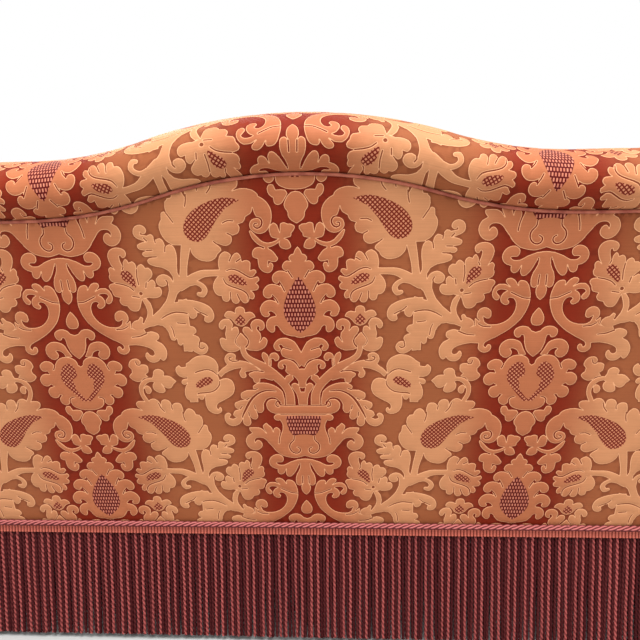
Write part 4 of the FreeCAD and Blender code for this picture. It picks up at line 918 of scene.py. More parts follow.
# Materials.
def new_material(name):
    material = bpy.data.materials.new(name)
    material.use_nodes = True
    tree = material.node_tree
    return material, tree, tree.nodes["Principled BSDF"]


def node(tree, kind, inputs=None, **settings):
    n = tree.nodes.new(kind)
    for key, value in settings.items():
        setattr(n, key, value)
    for key, value in (inputs or {}).items():
        if hasattr(value, "is_output"):
            tree.links.new(value, n.inputs[key])
        else:
            n.inputs[key].default_value = value
    return n


def sums(tree, operation, a, b=None, c=None):
    n = node(tree, "ShaderNodeMath", operation=operation)
    for k, value in enumerate((a, b, c)):
        if value is None:
            continue
        if hasattr(value, "is_output"):
            tree.links.new(value, n.inputs[k])
        else:
            n.inputs[k].default_value = value
    return n.outputs[0]


def blend(tree, factor, a, b):
    """Colour a where factor is 0, b where it is 1."""
    n = node(tree, "ShaderNodeMix", data_type="RGBA")
    for key, value in ((0, factor), (6, a), (7, b)):
        if hasattr(value, "is_output"):
            tree.links.new(value, n.inputs[key])
        elif key == 0:
            n.inputs[key].default_value = value
        else:
            n.inputs[key].default_value = (*value, 1)
    return n.outputs[2]


def ramp(tree, value, low, high):
    """0 below low, 1 above high, eased between."""
    n = node(tree, "ShaderNodeMapRange", interpolation_type="SMOOTHSTEP")
    tree.links.new(value, n.inputs["Value"])
    n.inputs["From Min"].default_value = low
    n.inputs["From Max"].default_value = high
    return n.outputs["Result"]


def srgb(r, g, b):
    """A colour given as it looks on a screen, 0 to 255, for a shader."""
    def one(c):
        c = c / 255
        return c / 12.92 if c <= 0.04045 else ((c + 0.055) / 1.055) ** 2.4
    return (one(r), one(g), one(b))


GROUND_GOLD = (147, 84, 52)
GROUND_RUST = (120, 36, 18)
FIGURE_GOLD = (192, 132, 92)
FIGURE_RUST = (172, 102, 68)


def damask_material():
    """Satin figure on a ribbed ground. Both run from gold between the columns to rust on them."""
    material, tree, shader = new_material("rust_and_gold_damask")
    uv = node(tree, "ShaderNodeUVMap", uv_map="cloth").outputs[0]
    split = node(tree, "ShaderNodeSeparateXYZ", {0: uv})
    x, v = split.outputs[0], split.outputs[1]
    figure = node(tree, "ShaderNodeAttribute", attribute_name="figure").outputs["Fac"]
    woven = node(tree, "ShaderNodeAttribute", attribute_name="basket").outputs["Fac"]
    inset = node(tree, "ShaderNodeAttribute", attribute_name="inset").outputs["Fac"]
    turn = sums(tree, "MULTIPLY", x, 2 * math.pi / (PITCH / 1000))
    wave = sums(tree, "MULTIPLY_ADD", sums(tree, "COSINE", turn), 0.5, 0.5)
    stripe = ramp(tree, wave, 0.08, 0.86)
    ground = blend(tree, stripe, srgb(*GROUND_GOLD), srgb(*GROUND_RUST))
    raised = blend(tree, stripe, srgb(*FIGURE_GOLD), srgb(*FIGURE_RUST))
    cloudy = node(tree, "ShaderNodeTexNoise", {"Vector": uv, "Scale": 9.0, "Detail": 3.0}).outputs["Fac"]
    stretch = node(tree, "ShaderNodeMapping", {"Vector": uv, "Scale": (14.0, 900.0, 1.0)}).outputs[0]
    strie = node(tree, "ShaderNodeTexNoise", {"Vector": stretch, "Scale": 1.0, "Detail": 2.0}).outputs["Fac"]
    colour = blend(tree, figure, ground, raised)
    # Painted shadow: the ground is darkened towards dark red in a band up to 2.4 mm wide just outside the
    # figure's edge, where the raised figure would shade it.
    shade = ramp(tree, inset, -2.4, 0.0)
    painted_edge_shadow = sums(tree, "MULTIPLY", shade, sums(tree, "SUBTRACT", 1.0, figure))
    colour = blend(tree, sums(tree, "MULTIPLY", painted_edge_shadow, 0.3), colour, srgb(74, 14, 8))
    # Painted highlight: the figure is lightened to pale peach in a band about 1.2 mm wide inside its edge, as
    # light catching the raised edge.
    rim = sums(tree, "MULTIPLY", figure, sums(tree, "SUBTRACT", 1.0, ramp(tree, inset, 0.3, 1.25)))
    colour = blend(tree, sums(tree, "MULTIPLY", rim, 0.8), colour, srgb(232, 172, 128))
    bricks = node(
        tree, "ShaderNodeTexBrick",
        {"Vector": uv, "Scale": 1.0, "Mortar Size": 0.0013, "Mortar Smooth": 0.3, "Bias": 0.0,
         "Brick Width": 0.0046, "Row Height": 0.0068},
        offset=0.5, offset_frequency=2, squash=1.0,
    )
    bricks.inputs["Color1"].default_value = (*srgb(196, 122, 98), 1)
    bricks.inputs["Color2"].default_value = (*srgb(182, 106, 84), 1)
    bricks.inputs["Mortar"].default_value = (*srgb(84, 18, 16), 1)
    quarter = (0.0, 0.0, math.radians(45))
    slant = node(tree, "ShaderNodeMapping", {"Vector": uv, "Rotation": quarter}).outputs[0]
    dots = node(
        tree, "ShaderNodeTexBrick",
        {"Vector": slant, "Scale": 1.0, "Mortar Size": 0.0012, "Mortar Smooth": 0.35, "Bias": 0.0,
         "Brick Width": 0.0046, "Row Height": 0.0046},
        offset=0.0, offset_frequency=2, squash=1.0,
    )
    dots.inputs["Color1"].default_value = (*srgb(200, 132, 98), 1)
    dots.inputs["Color2"].default_value = (*srgb(190, 120, 88), 1)
    dots.inputs["Mortar"].default_value = (*srgb(108, 34, 22), 1)
    is_net = sums(tree, "GREATER_THAN", woven, 1.5)
    inlay = blend(tree, is_net, bricks.outputs["Color"], dots.outputs["Color"])
    colour = blend(tree, sums(tree, "GREATER_THAN", woven, 0.5), colour, inlay)
    grain = sums(tree, "MULTIPLY_ADD", strie, 0.3, 0.85)
    grain = sums(tree, "MULTIPLY", grain, sums(tree, "MULTIPLY_ADD", cloudy, 0.3, 0.85))
    toned = node(tree, "ShaderNodeVectorMath", {0: colour}, operation="SCALE")
    tree.links.new(grain, toned.inputs["Scale"])
    tree.links.new(toned.outputs[0], shader.inputs["Base Color"])
    rough = sums(tree, "MULTIPLY_ADD", figure, -0.1, 0.6)
    tree.links.new(rough, shader.inputs["Roughness"])
    shader.inputs["Sheen Weight"].default_value = 0.03
    shader.inputs["Sheen Roughness"].default_value = 0.4
    shader.inputs["Sheen Tint"].default_value = (*srgb(255, 190, 176), 1)
    shader.inputs["Specular IOR Level"].default_value = 0.06
    rib_x = sums(tree, "SINE", sums(tree, "MULTIPLY", x, 2 * math.pi / 0.0009))
    rib_v = sums(tree, "SINE", sums(tree, "MULTIPLY", v, 2 * math.pi / 0.0011))
    height = sums(tree, "ADD", sums(tree, "MULTIPLY", rib_x, rib_v), sums(tree, "MULTIPLY", strie, 1.5))
    bump = node(tree, "ShaderNodeBump", {"Strength": 0.25, "Distance": 0.0002, "Height": height})
    tree.links.new(bump.outputs[0], shader.inputs["Normal"])
    return material


def plain_cloth(name, colour, dark, pitch=0.0012, rough=0.85, sheen=0.2):
    """A plain woven cloth: two threads in object space, with slight unevenness."""
    material, tree, shader = new_material(name)
    place = node(tree, "ShaderNodeTexCoord").outputs["Object"]
    noise = node(tree, "ShaderNodeTexNoise", {"Vector": place, "Scale": 60.0, "Detail": 4.0}).outputs["Fac"]
    split = node(tree, "ShaderNodeSeparateXYZ", {0: place})
    threads = []
    for k in range(3):
        turn = sums(tree, "MULTIPLY", split.outputs[k], 2 * math.pi / pitch)
        threads.append(sums(tree, "SINE", turn))
    weave = sums(tree, "MULTIPLY", sums(tree, "ADD", threads[0], threads[1]), threads[2])
    mixed = sums(tree, "MULTIPLY_ADD", weave, 0.08, noise)
    colour = blend(tree, ramp(tree, mixed, 0.25, 0.75), srgb(*dark), srgb(*colour))
    tree.links.new(colour, shader.inputs["Base Color"])
    shader.inputs["Roughness"].default_value = rough
    shader.inputs["Sheen Weight"].default_value = sheen
    bump = node(tree, "ShaderNodeBump", {"Strength": 0.3, "Distance": 0.0003, "Height": weave})
    tree.links.new(bump.outputs[0], shader.inputs["Normal"])
    return material


def wood(name, colour, dark, rough):
    material, tree, shader = new_material(name)
    place = node(tree, "ShaderNodeTexCoord").outputs["Object"]
    spread = node(tree, "ShaderNodeMapping", {"Vector": place, "Scale": (3.0, 40.0, 40.0)}).outputs[0]
    settings = {"Vector": spread, "Scale": 3.0, "Detail": 6.0, "Distortion": 0.6}
    grain = node(tree, "ShaderNodeTexNoise", settings).outputs["Fac"]
    colour = blend(tree, ramp(tree, grain, 0.3, 0.7), srgb(*dark), srgb(*colour))
    tree.links.new(colour, shader.inputs["Base Color"])
    shader.inputs["Roughness"].default_value = rough
    bump = node(tree, "ShaderNodeBump", {"Strength": 0.2, "Distance": 0.0004, "Height": grain})
    tree.links.new(bump.outputs[0], shader.inputs["Normal"])
    return material


def metal(name, colour, rough):
    material, tree, shader = new_material(name)
    place = node(tree, "ShaderNodeTexCoord").outputs["Object"]
    noise = node(tree, "ShaderNodeTexNoise", {"Vector": place, "Scale": 180.0, "Detail": 3.0}).outputs["Fac"]
    colour = blend(tree, noise, srgb(*[c * 0.8 for c in colour]), srgb(*colour))
    tree.links.new(colour, shader.inputs["Base Color"])
    shader.inputs["Metallic"].default_value = 1.0
    rough_out = sums(tree, "MULTIPLY_ADD", noise, 0.2, rough - 0.1)
    tree.links.new(rough_out, shader.inputs["Roughness"])
    return material


def yarn_material(name, light, dark, attribute="colour_and_painted_light"):
    """Twisted rayon yarn: its colour runs from dark to light with a value the piece holds at each point,
    which carries painted highlight and painted shade and, on the fringe, the strands' own colours, with fine
    threads along the twist."""
    material, tree, shader = new_material(name)
    colour_and_painted_light = node(tree, "ShaderNodeAttribute", attribute_name=attribute).outputs["Fac"]
    uv = node(tree, "ShaderNodeUVMap", uv_map="cloth").outputs[0]
    fine = node(tree, "ShaderNodeTexNoise", {"Vector": uv, "Scale": 900.0, "Detail": 2.0}).outputs["Fac"]
    factor = sums(tree, "MULTIPLY", colour_and_painted_light, sums(tree, "MULTIPLY_ADD", fine, 0.6, 0.7))
    colour = blend(tree, factor, srgb(*dark), srgb(*light))
    tree.links.new(colour, shader.inputs["Base Color"])
    shader.inputs["Roughness"].default_value = 0.55
    shader.inputs["Specular IOR Level"].default_value = 0.06
    bump = node(tree, "ShaderNodeBump", {"Strength": 0.3, "Distance": 0.0003, "Height": fine})
    tree.links.new(bump.outputs[0], shader.inputs["Normal"])
    return material


def dress(names, material):
    """Gives CAD nodes that stay their material."""
    for name in names:
        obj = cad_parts[name]
        if not obj.material_slots:
            obj.data.materials.append(material)
        for slot in obj.material_slots:
            slot.link = "OBJECT"
            slot.material = material


DAMASK = damask_material()

# The outside back.
LEAF_TIP_S = 508.8


def back_surface(x, v):
    s = LEAF_TIP_S - v
    points = in_back(x, np.zeros_like(x), s)
    normals = turn_back(np.broadcast_to(np.array([0.0, 1.0, 0.0]), points.shape))
    return points, normals


def outside_back():
    half = back_points(-2.6, -22)
    right = [(x, LEAF_TIP_S - s) for x, s in half]
    left = [(-x, v) for x, v in reversed(right)]
    parts = [damask_parts(chain(left, right), back_surface)]
    return damask_object("outside_back", parts, DAMASK, ["outside_back_cover"])


# The top roll, swept along the camel line.
def through(a, b, c, step=2.5):
    """Points along the arc through three points."""
    ax, ay = a
    bx, by = b
    cx, cy = c
    d = 2 * (ax * (by - cy) + bx * (cy - ay) + cx * (ay - by))
    a2, b2, c2 = ax * ax + ay * ay, bx * bx + by * by, cx * cx + cy * cy
    centre = ((a2 * (by - cy) + b2 * (cy - ay) + c2 * (ay - by)) / d,
              (a2 * (cx - bx) + b2 * (ax - cx) + c2 * (bx - ax)) / d)
    radius = math.dist(centre, a)
    a0, a1, a2 = bearing(centre, a), bearing(centre, b), bearing(centre, c)
    while a1 - a0 > 180:
        a1 -= 360
    while a1 - a0 < -180:
        a1 += 360
    while a2 - a1 > 180:
        a2 -= 360
    while a2 - a1 < -180:
        a2 += 360
    return arc_points(centre, radius, a0, a2, step)


def roll_profile():
    return chain(
        through((-6, 0), (BULGE, ROLL * 0.42), (-2, ROLL * 0.83)),
        through((-2, ROLL * 0.83), (-62, ROLL), (BACK_N + 27, ROLL * 0.78)),
        through((BACK_N + 27, ROLL * 0.78), (BACK_N + 4, ROLL * 0.45), (BACK_N, 0)),
    )


CAMEL = Track(camel_points(0, 88))
PROFILE = Track(roll_profile())
ROLL_V0 = 375.0


def roll_surface(x, v):
    """Pattern upside down at the rear: v grows from the welt up the rear side and over to the front."""
    w = v - ROLL_V0
    side = np.sign(x)
    t = np.abs(x)
    at = CAMEL.at(t)
    run = CAMEL.heading(t)
    up = np.stack([-run[:, 1], run[:, 0]], axis=1)
    nr = PROFILE.at(w)
    head = PROFILE.heading(w)
    out_n, out_r = head[:, 1], -head[:, 0]
    px = (at[:, 0] + up[:, 0] * nr[:, 1]) * np.where(side == 0, 1, side)
    ps = at[:, 1] + up[:, 1] * nr[:, 1]
    points = in_back(px, nr[:, 0], ps)
    vx = up[:, 0] * out_r * np.where(side == 0, 1, side)
    normals = turn_back(np.stack([vx, out_n, up[:, 1] * out_r], axis=1))
    return points, normals


def top_roll():
    length = CAMEL.length - 1
    width = PROFILE.length
    top = line_points((-length, ROLL_V0), (length, ROLL_V0), 8)
    down = line_points((length, ROLL_V0), (length, ROLL_V0 + width), 8)
    back = line_points((length, ROLL_V0 + width), (-length, ROLL_V0 + width), 8)
    up = line_points((-length, ROLL_V0 + width), (-length, ROLL_V0), 8)
    parts = [damask_parts(chain(top, down, back, up)[:-1], roll_surface, 9.0)]
    return damask_object("top_roll", parts, DAMASK, ["top_roll_cover"])


# The inside back.
INSIDE_V0 = LEAF_TIP_S + 40
INSIDE_FOOT_S = 147.0
INSIDE_SWELL = 6.0
SWELL_RUN = 45.0


def inside_surface(x, v):
    s = INSIDE_V0 - v
    edge = SEAT_HALF - np.abs(x)
    line = CAMEL.p
    top = np.interp(np.abs(x), line[:, 0], line[:, 1])
    gap = np.minimum(np.minimum(edge, top - s), s - INSIDE_FOOT_S)
    t = np.clip(gap / SWELL_RUN, 0, 1)
    swell = INSIDE_SWELL * t * t * (3 - 2 * t)
    points = in_back(x, BACK_N - swell, s)
    normals = turn_back(np.broadcast_to(np.array([0.0, -1.0, 0.0]), points.shape))
    return points, normals


def inside_back():
    """Down the shoulder to the arm's scroll, round the scroll and down beside the arm."""
    middle = (SCROLL_Z - ROPE_Z + BACK_N * math.sin(LEAN)) / math.cos(LEAN)
    scroll = [(x, middle + (s - middle) / math.cos(LEAN))
              for x, s in arc_points((SCROLL_X, middle), SCROLL_R + 1, 94, 180)]
    right = chain(camel_points(0, 85), scroll, line_points(scroll[-1], (SEAT_HALF, INSIDE_FOOT_S), 8))
    right = [(x, INSIDE_V0 - s) for x, s in right]
    left = [(-x, v) for x, v in reversed(right)]
    parts = [damask_parts(chain(left, right), inside_surface, 12.0)]
    return damask_object("inside_back", parts, DAMASK, ["inside_back_cover"])


# Arms: cloth over the inner face and the scroll.
ARM_TRACK = Track(arm_points(0, DECK_Z)[0])
ARM_MID_Y = -170.0
ARM_V0 = 430.0


def rear_plane_y(z, n=-3.0):
    """Where the back's plane at n cuts the height z."""
    return BACK_Y + (z - ROPE_Z) * math.tan(LEAN) + n / math.cos(LEAN)


def arm_surface(side):
    def surface(x, v):
        w = ARM_V0 - v
        at = ARM_TRACK.at(w)
        run = ARM_TRACK.heading(w)
        points = np.stack([at[:, 0] * side, x + ARM_MID_Y, at[:, 1]], axis=1)
        normals = np.stack([-run[:, 1] * side, np.zeros_like(x), run[:, 0]], axis=1)
        return points, normals
    return surface


def inside_arm(side, name):
    y0 = FRONT_Y + FACING
    rise = ARM_TRACK.length
    rear = []
    for k in range(41):
        w = rise * k / 40
        z = float(ARM_TRACK.at(np.array([w]))[0, 1])
        rear.append((rear_plane_y(z) - ARM_MID_Y, ARM_V0 - w))
    front = line_points((y0 - ARM_MID_Y, ARM_V0 - rise), (y0 - ARM_MID_Y, ARM_V0), 8)
    loop = chain(rear, front)
    parts = [damask_parts(loop, arm_surface(side), 8.0)]
    nodes = [f"inside_arm_cover_{name}"]
    return damask_object(f"inside_arm_{name}", parts, DAMASK, nodes)


def outside_arm_surface(side):
    def surface(x, v):
        points = np.stack([np.full_like(x, ARM_OUT * side), x + ARM_MID_Y, ROPE_Z + 250 - v], axis=1)
        normals = np.broadcast_to(np.array([float(side), 0.0, 0.0]), points.shape)
        return points, normals
    return surface


def outside_arm(side, name):
    _, top = arm_points(0, DECK_Z)
    z1, z0 = top[1], RAIL_Z - 3
    y0 = FRONT_Y + FACING
    corners = [(y0, z1), (rear_plane_y(z1), z1), (rear_plane_y(z0), z0), (y0, z0)]
    pts = [(y - ARM_MID_Y, ROPE_Z + 250 - z) for y, z in corners]
    loop = chain(*[line_points(p, q, 8) for p, q in zip(pts, pts[1:] + pts[:1])])[:-1]
    parts = [damask_parts(loop, outside_arm_surface(side))]
    nodes = [f"outside_arm_cover_{name}"]
    return damask_object(f"outside_arm_{name}", parts, DAMASK, nodes)


def facing_surface(side):
    def surface(x, v):
        z = 600 - v
        points = np.stack([(x + 808) * side, np.full_like(x, FRONT_Y), z], axis=1)
        normals = np.broadcast_to(np.array([0.0, -1.0, 0.0]), points.shape)
        return points, normals
    return surface


def arm_facing(side, name):
    out, top = arm_points(0.5, RAIL_Z - 3)
    pts = chain(out, line_points(top, (top[0], RAIL_Z - 3), 8))
    loop = [(x - 808, 600 - z) for x, z in pts]
    loop = chain(loop, line_points(loop[-1], loop[0], 8))[:-1]
    parts = [damask_parts(loop, facing_surface(side), edge=FACING - 0.5)]
    return damask_object(f"arm_front_{name}", parts, DAMASK, [f"arm_facing_{name}"])


# Front border, from under the gimp up and over the edge roll.
def border_points():
    roll_y = FRONT_Y + 15.8
    return chain(
        line_points((roll_y - 15.5, RAIL_Z - 3), (roll_y - 15.5, DECK_Z - 15.5)),
        arc_points((roll_y, DECK_Z - 15.5), 15.5, 180, 90, 2),
    )


BORDER = Track(border_points())


def border_surface(x, v):
    w = 200 - v
    at = BORDER.at(w)
    run = BORDER.heading(w)
    points = np.stack([x, at[:, 0], at[:, 1]], axis=1)
    normals = np.stack([np.zeros_like(x), -run[:, 1], run[:, 0]], axis=1)
    return points, normals


def front_border():
    w = BORDER.length
    pts = [(-SEAT_HALF, 200 - w), (SEAT_HALF, 200 - w), (SEAT_HALF, 200), (-SEAT_HALF, 200)]
    loop = chain(*[line_points(p, q, 8) for p, q in zip(pts, pts[1:] + pts[:1])])[:-1]
    parts = [damask_parts(loop, border_surface, 9.0)]
    return damask_object("front_border", parts, DAMASK, ["front_border_cover"])


# Seat cushions.
CUSHION_BOX = 106.0
CUSHION_CROWN = 20.0
CUSHION_CORNER = 26.0
CUSHION_DRAW = 6.0
CUSHION_Z = DECK_Z + 1


def face_y(z):
    return BACK_Y + (z - ROPE_Z) * math.tan(LEAN) - (158.5) / math.cos(LEAN)


def cushion_outline(x0, x1, y0, y1, corner=CUSHION_CORNER, draw=CUSHION_DRAW, count=64):
    """A rounded rectangle whose sides draw in between its corners, as points anticlockwise."""
    cx, cy = (x0 + x1) / 2, (y0 + y1) / 2
    a, b = (x1 - x0) / 2, (y1 - y0) / 2
    out = []
    for (sx, sy), a0 in zip(((1, 1), (-1, 1), (-1, -1), (1, -1)), (0, 90, 180, 270)):
        out += [(cx + sx * (a - corner) + corner * math.cos(math.radians(a0 + k)),
                 cy + sy * (b - corner) + corner * math.sin(math.radians(a0 + k))) for k in range(0, 91, 10)]
    dense = chain(*[line_points(p, q, 8) for p, q in zip(out, out[1:] + out[:1])])[:-1]
    pulled = []
    for x, y in dense:
        fx, fy = (x - cx) / a, (y - cy) / b
        dx = -math.copysign(draw * max(0.0, 1 - fy * fy), fx) * min(1.0, abs(fx)) ** 12
        dy = -math.copysign(draw * max(0.0, 1 - fx * fx), fy) * min(1.0, abs(fy)) ** 12
        pulled.append((x + dx, y + dy))
    return pulled


def cushion(index, name):
    width = 2 * SEAT_HALF / 3
    x0 = -SEAT_HALF + index * width + 0.75
    x1 = x0 + width - 1.5
    y0, y1 = FRONT_Y + 1, face_y(CUSHION_Z + CUSHION_BOX) - 2
    cx, cy = (x0 + x1) / 2, (y0 + y1) / 2
    a, b = (x1 - x0) / 2, (y1 - y0) / 2
    rim = cushion_outline(x0 + 2, x1 - 2, y0 + 2, y1 - 2)

    def high(x, y):
        fx = np.clip(np.abs(x) / (a - 2), 0, 1)
        fy = np.clip(np.abs(y) / (b - 2), 0, 1)
        return CUSHION_CROWN * (1 - fx ** 2.6) ** 0.55 * (1 - fy ** 2.6) ** 0.55

    def top_surface(x, v):
        y = -v
        crown = high(x, y)
        z = CUSHION_Z + CUSHION_BOX - 3 + 3 * np.minimum(1, crown / 6) + crown * 0.98
        points = np.stack([x + cx, y + cy, z], axis=1)
        sx = np.clip((high(x + 1, y) - high(x - 1, y)) / 2, -1.5, 1.5)
        sy = np.clip((high(x, y + 1) - high(x, y - 1)) / 2, -1.5, 1.5)
        normals = np.stack([-sx, -sy, np.ones_like(x)], axis=1)
        return points, normals / np.linalg.norm(normals, axis=1)[:, None]

    def box_surface_of(track):
        def surface(x, v):
            at = track.at(x % track.length)
            run = track.heading(x % track.length)
            h = (v - 60) / (CUSHION_BOX - 6)
            bow = 2.0 * np.clip(1 - (2 * h - 1) ** 2, 0, 1)
            out = np.stack([run[:, 1], -run[:, 0]], axis=1)
            z = CUSHION_Z + 3 + (CUSHION_BOX - 6) * (1 - h)
            points = np.stack([at[:, 0] + out[:, 0] * bow, at[:, 1] + out[:, 1] * bow, z], axis=1)
            normals = np.stack([out[:, 0], out[:, 1], np.zeros_like(x)], axis=1)
            return points, normals
        return surface

    loop = [(px - cx, -(py - cy)) for px, py in rim]
    track = Track(rim + rim[:1])
    parts = [damask_parts(loop, top_surface, 14.0, edge=1.0)]
    length = track.length - 0.01
    pts = [(0, 60), (length, 60), (length, 60 + CUSHION_BOX - 6), (0, 60 + CUSHION_BOX - 6)]
    band = chain(*[line_points(p, q, 7) for p, q in zip(pts, pts[1:] + pts[:1])])[:-1]
    parts.append(damask_parts(band, box_surface_of(track), 12.0, edge=1.0))

    def under_surface(x, v):
        points = np.stack([x + cx, -v + cy, np.full_like(x, CUSHION_Z + 0.6)], axis=1)
        normals = np.broadcast_to(np.array([0.0, 0.0, -1.0]), points.shape)
        return points, normals

    parts.append(damask_parts(loop, under_surface, 16.0, edge=-2.4))
    nodes = [f"seat_cushion_cover_{name}"]
    if name == "centre":
        nodes.append("seat_cushion_cores")
    obj = damask_object(f"seat_cushion_{name}", parts, DAMASK, nodes)
    return obj


# Trims: rope, gimp and bullion fringe.
def base_track(out, corner, joint_gap=0.6):
    """Round the base from the rear joint, out from its faces."""
    x1, y0, y1 = ARM_OUT + out, FRONT_Y - out, BACK_Y + out
    cx, cy0, cy1 = x1 - corner, y0 + corner, y1 - corner
    joint = -432.0
    return Track(chain(
        line_points((joint + joint_gap / 2, y1), (cx, y1)),
        arc_points((cx, cy1), corner, 90, 0, 1.5),
        line_points((x1, cy1), (x1, cy0)),
        arc_points((cx, cy0), corner, 0, -90, 1.5),
        line_points((cx, y0), (-cx, y0)),
        arc_points((-cx, cy0), corner, -90, -180, 1.5),
        line_points((-x1, cy0), (-x1, cy1)),
        arc_points((-cx, cy1), corner, -180, -270, 1.5),
        line_points((-cx, y1), (joint - joint_gap / 2, y1)),
    ))


def grid_quads(rows, cols, wrap):
    """Faces of a grid of points; wrap joins the last column to the first."""
    r, c = np.meshgrid(np.arange(rows - 1), np.arange(cols if wrap else cols - 1), indexing="ij")
    n = (c + 1) % cols
    corners = [r * cols + c, r * cols + n, (r + 1) * cols + n, (r + 1) * cols + c]
    return np.stack(corners, axis=-1).reshape(-1, 4)


def rope():
    track = base_track(5.25, 16)
    count = int(track.length / 2.6)
    t = np.linspace(0, track.length, count)
    at, run = track.at(t), track.heading(t)
    out = np.stack([-run[:, 1], run[:, 0]], axis=1)
    lay = 36.0
    points, quads, uv, colour_and_painted_light = [], [], [], []
    base = 0
    for ply in range(3):
        a = -2 * np.pi * t / lay + ply * 2 * np.pi / 3
        r = 2.45
        cu, cz = r * np.cos(a), r * np.sin(a)
        k = np.arange(10) * 2 * np.pi / 10
        ring_u = cu[:, None] + 2.75 * np.cos(k)[None, :]
        ring_z = cz[:, None] + 2.75 * np.sin(k)[None, :]
        p = np.stack([
            at[:, 0][:, None] + out[:, 0][:, None] * ring_u,
            at[:, 1][:, None] + out[:, 1][:, None] * ring_u,
            ROPE_Z + ring_z,
        ], axis=-1)
        points.append(p.reshape(-1, 3))
        quads.append(grid_quads(count, 10, True) + base)
        uv.append(np.stack([np.repeat(t, 10), np.tile(k * 2.75, count)], axis=1))
        # Painted highlight: on every ply the ring point on its upper outer side is light pink and the rest
        # dark, so a light line runs along the lit side of each ply.
        colour_and_painted_light.append(np.tile(np.where(np.arange(10) == 1, 1.0, 0.14), count))
        base += count * 10
    obj = make_mesh(
        "rope", np.concatenate(points) / 1000, np.concatenate(quads), np.concatenate(uv) / 1000,
        None, {"colour_and_painted_light": np.concatenate(colour_and_painted_light)},
    )
    obj.data.materials.append(yarn_material("rope_yarn", (198, 116, 112), (72, 8, 16)))
    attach(obj, "root")
    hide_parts("rope_cord")
    return obj


def gimp():
    pitch = 5.4
    track = base_track(0.2, 12)
    ribs = int(track.length / pitch)
    per = 8
    count = ribs * per + 1
    t = np.linspace(0, track.length, count)
    at, run = track.at(t), track.heading(t)
    out = np.stack([-run[:, 1], run[:, 0]], axis=1)
    phase = (np.arange(count) % per) / per
    rib = np.sqrt(np.clip(1 - (2 * phase - 1) ** 2 * 1.25, 0, 1))
    heights = np.array([-6.5, -6.3, -4.6, -3.0, 0.0, 3.0, 4.6, 6.3, 6.5])
    bulge = np.array([0.0, 1.5, 2.4, 1.7, 1.9, 1.7, 2.4, 1.5, 0.0])
    depth = 0.15 + rib[:, None] * bulge[None, :]
    z = ROPE_Z - 5.25 - 0.3 - 6.5
    p = np.stack([
        at[:, 0][:, None] + out[:, 0][:, None] * depth,
        at[:, 1][:, None] + out[:, 1][:, None] * depth,
        np.broadcast_to(z + heights, depth.shape),
    ], axis=-1)
    # Painted shade and highlight: the colour goes dark between the ribs and towards the band's top and bottom
    # edges, and light on the rib crowns, following the rib's bulge.
    colour_and_painted_light = np.clip(rib[:, None] * np.array([0.5, 0.8, 1.0, 0.8, 0.9, 0.8, 1.0, 0.8, 0.5])[None, :], 0, 1)
    uv = np.stack(np.broadcast_arrays(t[:, None], heights[None, :]), axis=-1).reshape(-1, 2)
    obj = make_mesh(
        "gimp", p.reshape(-1, 3) / 1000, grid_quads(count, len(heights), False), uv / 1000,
        None, {"colour_and_painted_light": colour_and_painted_light.ravel()},
    )
    obj.data.materials.append(yarn_material("gimp_yarn", (208, 112, 94), (84, 14, 12)))
    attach(obj, "root")
    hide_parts("gimp_band")
    return obj


FRINGE_TOP = 202.0
FRINGE_HEM = 10.0
STRAND_PITCH = 5.6


def fringe(name, node_name, start, end, outward, seed):
    """A row of twisted cords hanging from start to end, in x and y."""
    rng = np.random.default_rng(seed)
    length = math.dist(start, end)
    count = int(round(length / STRAND_PITCH))
    s = (np.arange(count) + 0.5) * length / count
    ux, uy = (end[0] - start[0]) / length, (end[1] - start[1]) / length
    rings, sides = 72, 4
    z = np.linspace(FRINGE_TOP, FRINGE_HEM, rings)
    k = np.arange(sides) * 2 * np.pi / sides
    lobe = 3.05 * (0.8 + 0.2 * np.cos(k) ** 2)
    twist = 2 * np.pi * (FRINGE_TOP - z) / 18.0
    sway = rng.normal(0, 1.0, (count, 3))
    phase = rng.uniform(0, 2 * np.pi, count)
    drop = (FRINGE_TOP - z) / (FRINGE_TOP - FRINGE_HEM)
    along = s[:, None] + 0.9 * sway[:, :1] * drop[None, :] ** 1.5 + 0.25 * np.sin(z / 17.0 + phase[:, None])
    depth = 0.6 * sway[:, 1:2] * drop[None, :]
    angle = twist[None, :, None] + phase[:, None, None] + k[None, None, :]
    a = along[:, :, None] + lobe * np.cos(angle)
    b = depth[:, :, None] + lobe * np.sin(angle)
    p = np.stack([
        start[0] + ux * a + outward[0] * b,
        start[1] + uy * a + outward[1] * b,
        np.broadcast_to(z[None, :, None], a.shape),
    ], axis=-1)
    quads = grid_quads(rings, sides, True)
    quads = (quads[None] + (np.arange(count) * rings * sides)[:, None, None]).reshape(-1, 4)
    light = np.array([1.0, 0.12, 0.9, 0.18, 0.1])[np.arange(count) % 5] * rng.uniform(0.8, 1.0, count)
    # Painted shade: each strand is darkened on the two narrow sides of its twisted section, so the grooves of
    # the twist read as shaded. The light and dark strands above are the strands' own colours.
    painted_groove_shade = 0.15 + 0.85 * np.cos(k) ** 2
    colour_and_painted_light = (light[:, None, None] * painted_groove_shade[None, None, :] * np.ones((1, rings, 1))).ravel()
    round_it = np.broadcast_to(k * 2.85, a.shape).ravel()
    down_it = np.broadcast_to(z[None, :, None], a.shape).ravel()
    uv = np.stack([round_it, down_it], 1)
    obj = make_mesh(name, p.reshape(-1, 3) / 1000, quads, uv / 1000, None, {"colour_and_painted_light": colour_and_painted_light})
    obj.data.materials.append(FRINGE_YARN)
    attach(obj, "root")
    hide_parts(node_name)
    return obj


FRINGE_YARN = yarn_material("fringe_yarn", (190, 96, 92), (44, 3, 8))


